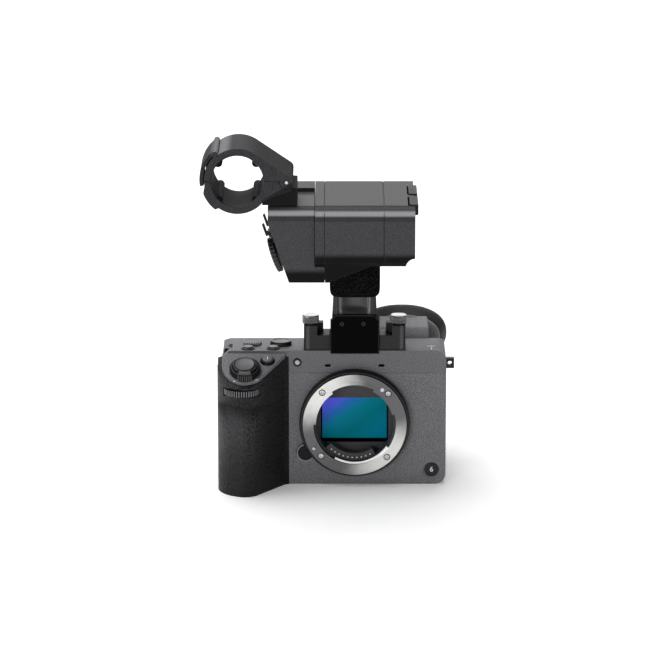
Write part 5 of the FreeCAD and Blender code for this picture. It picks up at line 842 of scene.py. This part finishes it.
thumb_across, thumb_depth = 0.0246, 0.006
knurled = Paint("knurled_steel", roughness=0.35, metallic=1.0)
smear = knurled.noise(0.0008, 3.0)
mirrored = knurled.vector("ABSOLUTE", knurled.place)
reach = knurled.reach((thumb_across, thumb_depth, 0), upward, mirrored)
# Painted shade in the valleys of the knurl.
groove_shade = (reach - 0.0042).between(0.0, 0.00012) * (0.0047 - reach).between(0.0, 0.0003)
tone = knurled.mix(smear, grey(0.42, 1.0), grey(0.72, 1.0))
knurled.colour(groove_shade * 0.85, tone, 0.08)
knurled.feed("Roughness", 0.3 + smear * 0.15)
rim, head_tall = 0.00475, 0.0047
for side, across in (("left", -thumb_across), ("right", thumb_across)):
    low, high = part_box(f"thumb_screw_{side}")
    head_low, head_high = high.z - head_tall, high.z
    flank = fill([(rim, head_high - 0.0007), (rim, head_low + 0.0003)], 16)
    profile = [(0, head_high - 0.0001), (0.0033, head_high - 0.0001), (0.0036, head_high),
               (0.0042, head_high), (rim, head_high - 0.0006)]
    profile += [(r, h, 1) for r, h in flank]
    profile += [(rim - 0.0004, head_low), (0.002, head_low), (0.002, low.z), (0, low.z)]
    head = turned(f"thumb_screw_{side}_head", (across, -thumb_depth, 0), upward, profile, 256,
                  diamonds(32, 0.0011, 0.00045))
    put(head, f"thumb_screw_{side}", "bright_steel", knurled, f"thumb_screw_{side}")


# Handle neck: a cast black stem, scooped at the front, behind a deep black face plate.
# The plate is held by two small cross-slotted screws.
neck_cast = Paint("neck_cast", roughness=0.45, Specular_IOR_Level=0.03)
height = neck_cast.coordinates()[2]
grain = neck_cast.noise(0.0005, 3.0)
soft, wear_and_glint = neck_cast.edge_wear_and_glint(0.0009)
above = height.between(0.0975, 0.0995)
tone = neck_cast.mix(above, 0.002, neck_cast.mix(grain, 0.045, 0.075))
neck_cast.colour(wear_and_glint * 0.7, tone, 0.12)
neck_cast.feed("Roughness", 0.62 - above * 0.3)
neck_cast.bump(grain, 0.000008, soft)
cover(neck_cast, "handle_neck")


beside_scoop, neck_front = 0.0093, -0.0095
scoop_foot, scoop_rise, scoop_half, scoop_deep = 0.0992, 0.004, 0.0085, 0.0016
ridge_at, ridge_half, ridge_tall = 0.0099, 0.0011, 0.0012


def draped(name, across, heights, offset):
    """A sheet over the front of the neck: each point stands offset(x, z) ahead of the solid, whose
    depth at that height is found by a ray along +Y beside the scoop."""
    rows = []
    for height in heights:
        hit, spot, _, _ = node["handle_neck"].ray_cast((beside_scoop, -0.1, height), (0, 1, 0))
        front = spot.y if hit else neck_front
        rows.append([(x, front - offset(x, height), height) for x in across])
    return skin(name, np.array(rows), around=False)


def hollowed(across, height):
    """Two ridges, e to the minus squared distance from their lines, and between them a hollow, one
    minus the squared distance from the middle, that fades in above its foot as 3 s^2 - 2 s^3."""
    share = min(max((height - scoop_foot) / scoop_rise, 0), 1)
    inner = max(0.0, 1 - (across / scoop_half) ** 2)
    ridge = ridge_tall * math.exp(-((abs(across) - ridge_at) / ridge_half) ** 2)
    return 0.0002 + ridge - scoop_deep * inner * share * share * (3 - 2 * share)


satin_cast = Paint("satin_cast", roughness=0.35, Specular_IOR_Level=0.3)
across, _, height = satin_cast.coordinates()
aside = across.math("ABSOLUTE")
# Painted highlights: one down each ridge of the scoop and a glow over the upper middle of the hollow.
painted_streak = (aside - 0.0066).between(0.0, 0.0012) * (0.0093 - aside).between(0.0, 0.0012)
glow = (0.006 - aside).between(0.0, 0.005) * (height - 0.1015).between(0.0, 0.003)
pits = satin_cast.cells(0.0005)
tone = satin_cast.mix(glow * 0.6, 0.035, 0.12)
satin_cast.colour(painted_streak * 0.9, tone, 0.26)
satin_cast.feed("Roughness", 0.35 + pits * 0.15)
satin_cast.bump(pits, 0.000008)
put(draped("neck_front", np.linspace(-0.0116, 0.0116, 61), np.linspace(0.0986, 0.1102, 25), hollowed),
    "camera_body", "black_metal", satin_cast, sharp=80)
plate_front, screw_height = -0.0134, 0.0935
for number, across in enumerate((-0.0071, 0.0049)):
    cross_screw(f"neck_screw_{number}", (across, plate_front, screw_height), forward, 0.0012, 0.0002,
                beam_black, turn=0.7, deep=0.0004)


# Grip bar of the handle with its hanging chin: moulded rubber over a plastic core.
# Fine dots cover the rubber, and all long edges are well rounded.
dotted_rubber = Paint("dotted_rubber", roughness=0.6, Specular_IOR_Level=0.03)
dots = dotted_rubber.cells(0.0011)
weave = dotted_rubber.noise(0.002, 2.0)
dotted_rubber.colour((0.4 - dots).between(0.0, 0.25), 0.002, 0.022)
dotted_rubber.feed("Roughness", 0.5 + weave * 0.2)
dotted_rubber.bump(dots, -0.00008)
bar_low, bar_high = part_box("handle_grip")
chin_low, under_case, bar_under = bar_low.z, 0.1373, 0.127
chin_back, end_radius = 0.006, 0.008
stations = [
    (bar_low.y, chin_low, under_case, 0.0120), (bar_low.y, chin_low, under_case, 0.0030),
    (bar_low.y + 0.0003, chin_low, under_case, 0.0014), (bar_low.y + 0.0009, chin_low, under_case, 0.0005),
    (bar_low.y + 0.0022, chin_low, under_case, 0), (-0.005, chin_low, under_case, 0),
    (0.0059, chin_low, under_case, 0), (0.0061, chin_low, bar_high.z, 0), (0.0115, chin_low, bar_high.z, 0),
    (0.0135, chin_low + 0.0006, bar_high.z, 0), (0.0280, bar_under - 0.0016, bar_high.z, 0),
    (0.0310, bar_under + 0.0002, bar_high.z, 0)]
stations += [(0.035 + 0.0025 * step, bar_under + 0.0004 + 0.00008 * step, bar_high.z, 0)
             for step in range(20)]
for turn in np.linspace(0, np.pi / 2, 8):
    depth = bar_high.y - end_radius + end_radius * math.sin(turn)
    stations.append((depth, bar_under + 0.002, bar_high.z, end_radius * (1 - math.cos(turn))))
stations.append((bar_high.y, bar_under + 0.002, bar_high.z, 0.0105))
loops = []
for depth, low, high, inset in stations:
    power = 5.0 if depth > chin_back else 7.0
    across, height = superellipse(bar_high.x - inset, (high - low) / 2 - inset, power)
    loops.append(np.stack([across, depth + 0 * across, height + (low + high) / 2], axis=-1))
bar = skin("handle_bar_rubber", capped(loops))
form = bmesh.new()
form.from_mesh(bar)
stud = Vector((0, 0.080, bar_high.z))
stud_opening = 0.0042
bmesh.ops.delete(form, context="FACES", geom=[
    face for face in form.faces if (face.calc_center_median() - stud).length < stud_opening])
form.to_mesh(bar)
form.free()
put(bar, "camera_body", "soft_rubber", dotted_rubber, "handle_grip", sharp=50)
bore, thread_deep, half_pitch = 0.00318, 0.0002, 0.0003
bush = [(0.0064, -0.0003), (0.0064, 0.0), (0.0062, 0.00015), (0.0035, 0.00015), (bore, -0.0002)]
bush += [(bore - thread_deep * (step % 2), -0.0004 - half_pitch * step) for step in range(24)]
bush += [(0.003, -0.008), (0, -0.008)]
put(turned("stud_bush", stud - Vector((0, 0, 0.0002)), upward, bush, 64), "camera_body", "bright_steel",
    insert_steel, sharp=50)


# Audio unit: control case on the left, socket case with two inputs on the right.
# Both are grained dark grey plastic; dials, switches and tabs are black.
def case_plastic(name, foot):
    """Grained plastic with a painted highlight along the rounded upper edge in front and a line of painted
    shade under it, and painted shade on top and near its foot.
    """
    plastic = Paint(name, roughness=0.42, Specular_IOR_Level=0.08)
    _, depth, height = plastic.coordinates()
    pits = plastic.cells(0.0006)
    soft, wear_and_glint = plastic.edge_wear_and_glint(0.0006)
    tone = plastic.mix(pits.between(0.1, 0.7), 0.042, 0.07)
    foot_shade = (foot + 0.0082 - height).between(0.0, 0.0036)
    ahead = (-0.0535 - depth).between(0.0, 0.003)
    highlight_band = (height - 0.1648).between(0.0, 0.0015) * (0.1690 - height).between(0.0, 0.0015)
    shade = (height - 0.1622).between(0.0, 0.0008) * (0.1655 - height).between(0.0, 0.0006)
    top_shade = (height - 0.1698).between(0.0, 0.0006)
    tone = plastic.over(tone, (foot_shade * 0.97, 0.003), (shade * ahead * 0.5, 0.02))
    tone = plastic.mix(highlight_band * ahead, tone, grey(0.34, 1.03))
    plastic.feed("Base Color", plastic.over(tone, (top_shade, 0.04), (wear_and_glint * 0.4, 0.08)))
    plastic.feed("Roughness", 0.4 + pits * 0.12)
    plastic.bump(pits, 0.000014, soft)
    return plastic


cover(case_plastic("control_case_plastic", 0.1283), "audio_control_case")
cover(case_plastic("socket_case_plastic", 0.1373), "audio_socket_case")
cover(black_plastic, "audio_inputs", "release_tab_front", "release_tab_rear", "audio_switch_front",
      "audio_switch_rear")
seam_filler = moulded("seam_filler", 0.006, gloss=0.1)


def gasket(name, across, thick, outline):
    """A thin plate square to X that closes a seam: its outline (y, z) twice, and a point at each end."""
    sides = [[(across + side, depth, height) for depth, height in outline]
             for side in (-thick / 2, thick / 2)]
    put(skin(name, capped(sides)), "camera_body", "black_plastic", seam_filler)


sheet = 0.00018
gasket("case_seam_gasket", -0.0166, sheet, [
    (-0.0575, 0.1295), (-0.0575, 0.1675), (-0.0545, 0.1692), (0.0045, 0.1692), (0.0045, 0.139),
    (-0.0215, 0.139), (-0.0215, 0.1295)])
for side, across in (("left", -0.0137), ("right", 0.0137)):
    gasket(f"neck_seam_{side}", across, sheet, [
        (-0.0108, 0.0785), (-0.0108, 0.0945), (-0.0095, 0.096), (0.002, 0.096), (0.002, 0.0785)])
    gasket(f"foot_seam_{side}", across * 1.003, 0.0005, [
        (-0.0116, 0.0785), (-0.0116, 0.0865), (0.003, 0.0865), (0.003, 0.0785)])
slope = math.radians(19.2)
slope_out = (-math.cos(slope), 0, -math.sin(slope))


def on_slope(down, depth, out=0.0):
    """A point on the slanted control side: down its slope, and out along its normal."""
    return (-0.04745 + down * math.sin(slope) - out * math.cos(slope), -depth,
            0.161 - down * math.cos(slope) - out * math.sin(slope))


dial = [(0, 0.0053), (0.0045, 0.00525), (0.0072, 0.00505), (0.0091, 0.0047), (0.0098, 0.0043, 1),
        (0.0098, 0.0019, 1), (0.0093, 0.0018), (0.0072, 0.0018), (0.0072, 0.0003), (0.002, 0.0003),
        (0.002, -0.004), (0, -0.004)]
for end, depth in (("front", 0.043), ("rear", 0.019)):
    knob = turned(f"audio_dial_{end}_knob", on_slope(0.0206, depth), slope_out, dial, 24 * 8,
                  milling(24, 0.0005))
    put(knob, f"audio_dial_{end}", "black_plastic", milled_black, f"audio_dial_{end}", round_by=0.0001)


# Microphone clamp: a lower half on the audio unit and a hinged arch with a locking lever.
# Grained grey plastic with black ribs in its bore; the hinge pin's bright end shows at the front.
# Tones follow the place: painted shade darkens the arm, the foot under it and the left of the bore, and a
# painted highlight lights the top of the ring.
ring_at = (-0.0637, 0, 0.1848)
clamp_plastic = Paint("clamp_plastic", roughness=0.6, Specular_IOR_Level=0.04)
reach = clamp_plastic.reach(ring_at, (0, 1, 0))
across, depth, height = clamp_plastic.coordinates()
pits = clamp_plastic.cells(0.0006)
soft, wear_and_glint = clamp_plastic.edge_wear_and_glint(0.0005)
arch_front, arm_starts, foot_starts, arm_rise = -0.0596, -0.064, -0.0508, 0.59
flank = (depth - arch_front).between(0.0, 0.0003)
# Painted shade on the arm towards the hinge and on the foot block under it.
arm = (across - arm_starts).between(0.0, 0.016) * flank
under_arm = (across + 0.0495) * arm_rise + 0.1752
foot = (across - foot_starts).between(0.0, 0.0005) * (under_arm - height).between(0.0, 0.0005)
crown_highlight = (1.0 - ((across + 0.0725) / 0.007) ** 2.0 - ((height - 0.2) / 0.005) ** 2.0).between(0.0, 1.0) * flank
bore_radius, rib_tips = 0.0146, 0.0132
left_bore_shade = (bore_radius - reach).between(0.0, 0.0002) * (ring_at[0] - across).between(-0.002, 0.009)
tone = clamp_plastic.mix(pits.between(0.1, 0.7), 0.024, 0.054)
tone = clamp_plastic.over(tone, (arm * 0.8, 0.012), (foot * 0.7, 0.01), (crown_highlight * 0.85, 0.2),
                          (left_bore_shade * 0.9, 0.004), (wear_and_glint * 0.4, 0.12))
clamp_plastic.colour(reach.between(rib_tips, 0.0137), 0.004, tone)
clamp_plastic.feed("Roughness", 0.55 + pits * 0.2)
clamp_plastic.bump(pits, 0.000014, soft)
cover(clamp_plastic, "mic_clamp_base", "mic_clamp_arch", "mic_clamp_lever")
pin = [(0, 0.00035), (0.0006, 0.0003), (0.0009, 0.0), (0.0009, -0.0004), (0, -0.0004)]
pin_steel = turned_steel("pin_steel", 0.85, 0.4)
put(turned("hinge_pin_end", (-0.0372, -0.0602, 0.1842), forward, pin, 32), "camera_body", "bright_steel",
    pin_steel)


# Floor and light: a pale sweep that glows a little, so that shadows stay faint, and three soft panels,
# as in a product studio.
floor = bpy.data.meshes.new("floor")
floor.from_pydata([(-9, -7, 0), (9, -7, 0), (9, 11, 0), (-9, 11, 0)], [], [(0, 1, 2, 3)])
floor_paint = Paint("pale_floor", roughness=0.8, Emission_Color=(1, 1, 1, 1), Emission_Strength=0.16)
sweep = floor_paint.noise(0.5, 2.0)
floor_paint.colour(sweep, grey(0.95, 1.0), grey(0.98, 1.0))
floor.materials.append(floor_paint.material)
ground = bpy.data.objects.new("floor", floor)
bpy.context.scene.collection.objects.link(ground)

world = bpy.data.worlds.new("studio")
bpy.context.scene.world = world
world.use_nodes = True
world.node_tree.nodes["Background"].inputs["Color"].default_value = (1, 1, 1, 1)
world.node_tree.nodes["Background"].inputs["Strength"].default_value = 0.12


def panel(name, place, target, wide, tall, power):
    """A soft rectangular light that faces a point."""
    light = bpy.data.lights.new(name, "AREA")
    light.shape = "RECTANGLE"
    light.size = wide
    light.size_y = tall
    light.energy = power
    lamp = bpy.data.objects.new(name, light)
    lamp.location = place
    lamp.rotation_euler = (Vector(target) - Vector(place)).to_track_quat("-Z", "Y").to_euler()
    bpy.context.scene.collection.objects.link(lamp)


middle = (0, 0, 0.09)
panel("light_above", (-0.5, 0.1, 2.4), middle, 2.2, 2.2, 70)
panel("light_behind", (0, 2.2, 1.0), middle, 3.0, 0.9, 22)
panel("light_left", (-1.0, -1.95, 0.34), middle, 0.75, 0.5, 10)
bpy.context.scene.view_settings.view_transform = "Standard"

camera = bpy.data.cameras.new("camera")
camera.lens = 194.9
camera.sensor_width = 36
camera.clip_end = 50
eye = bpy.data.objects.new("camera", camera)
eye.location = (-0.0124, -1.9561, 0.5965)
eye.rotation_euler = (math.radians(90 - 14.65), 0, 0)
bpy.context.scene.collection.objects.link(eye)
bpy.context.scene.camera = eye

bpy.context.view_layer.update()
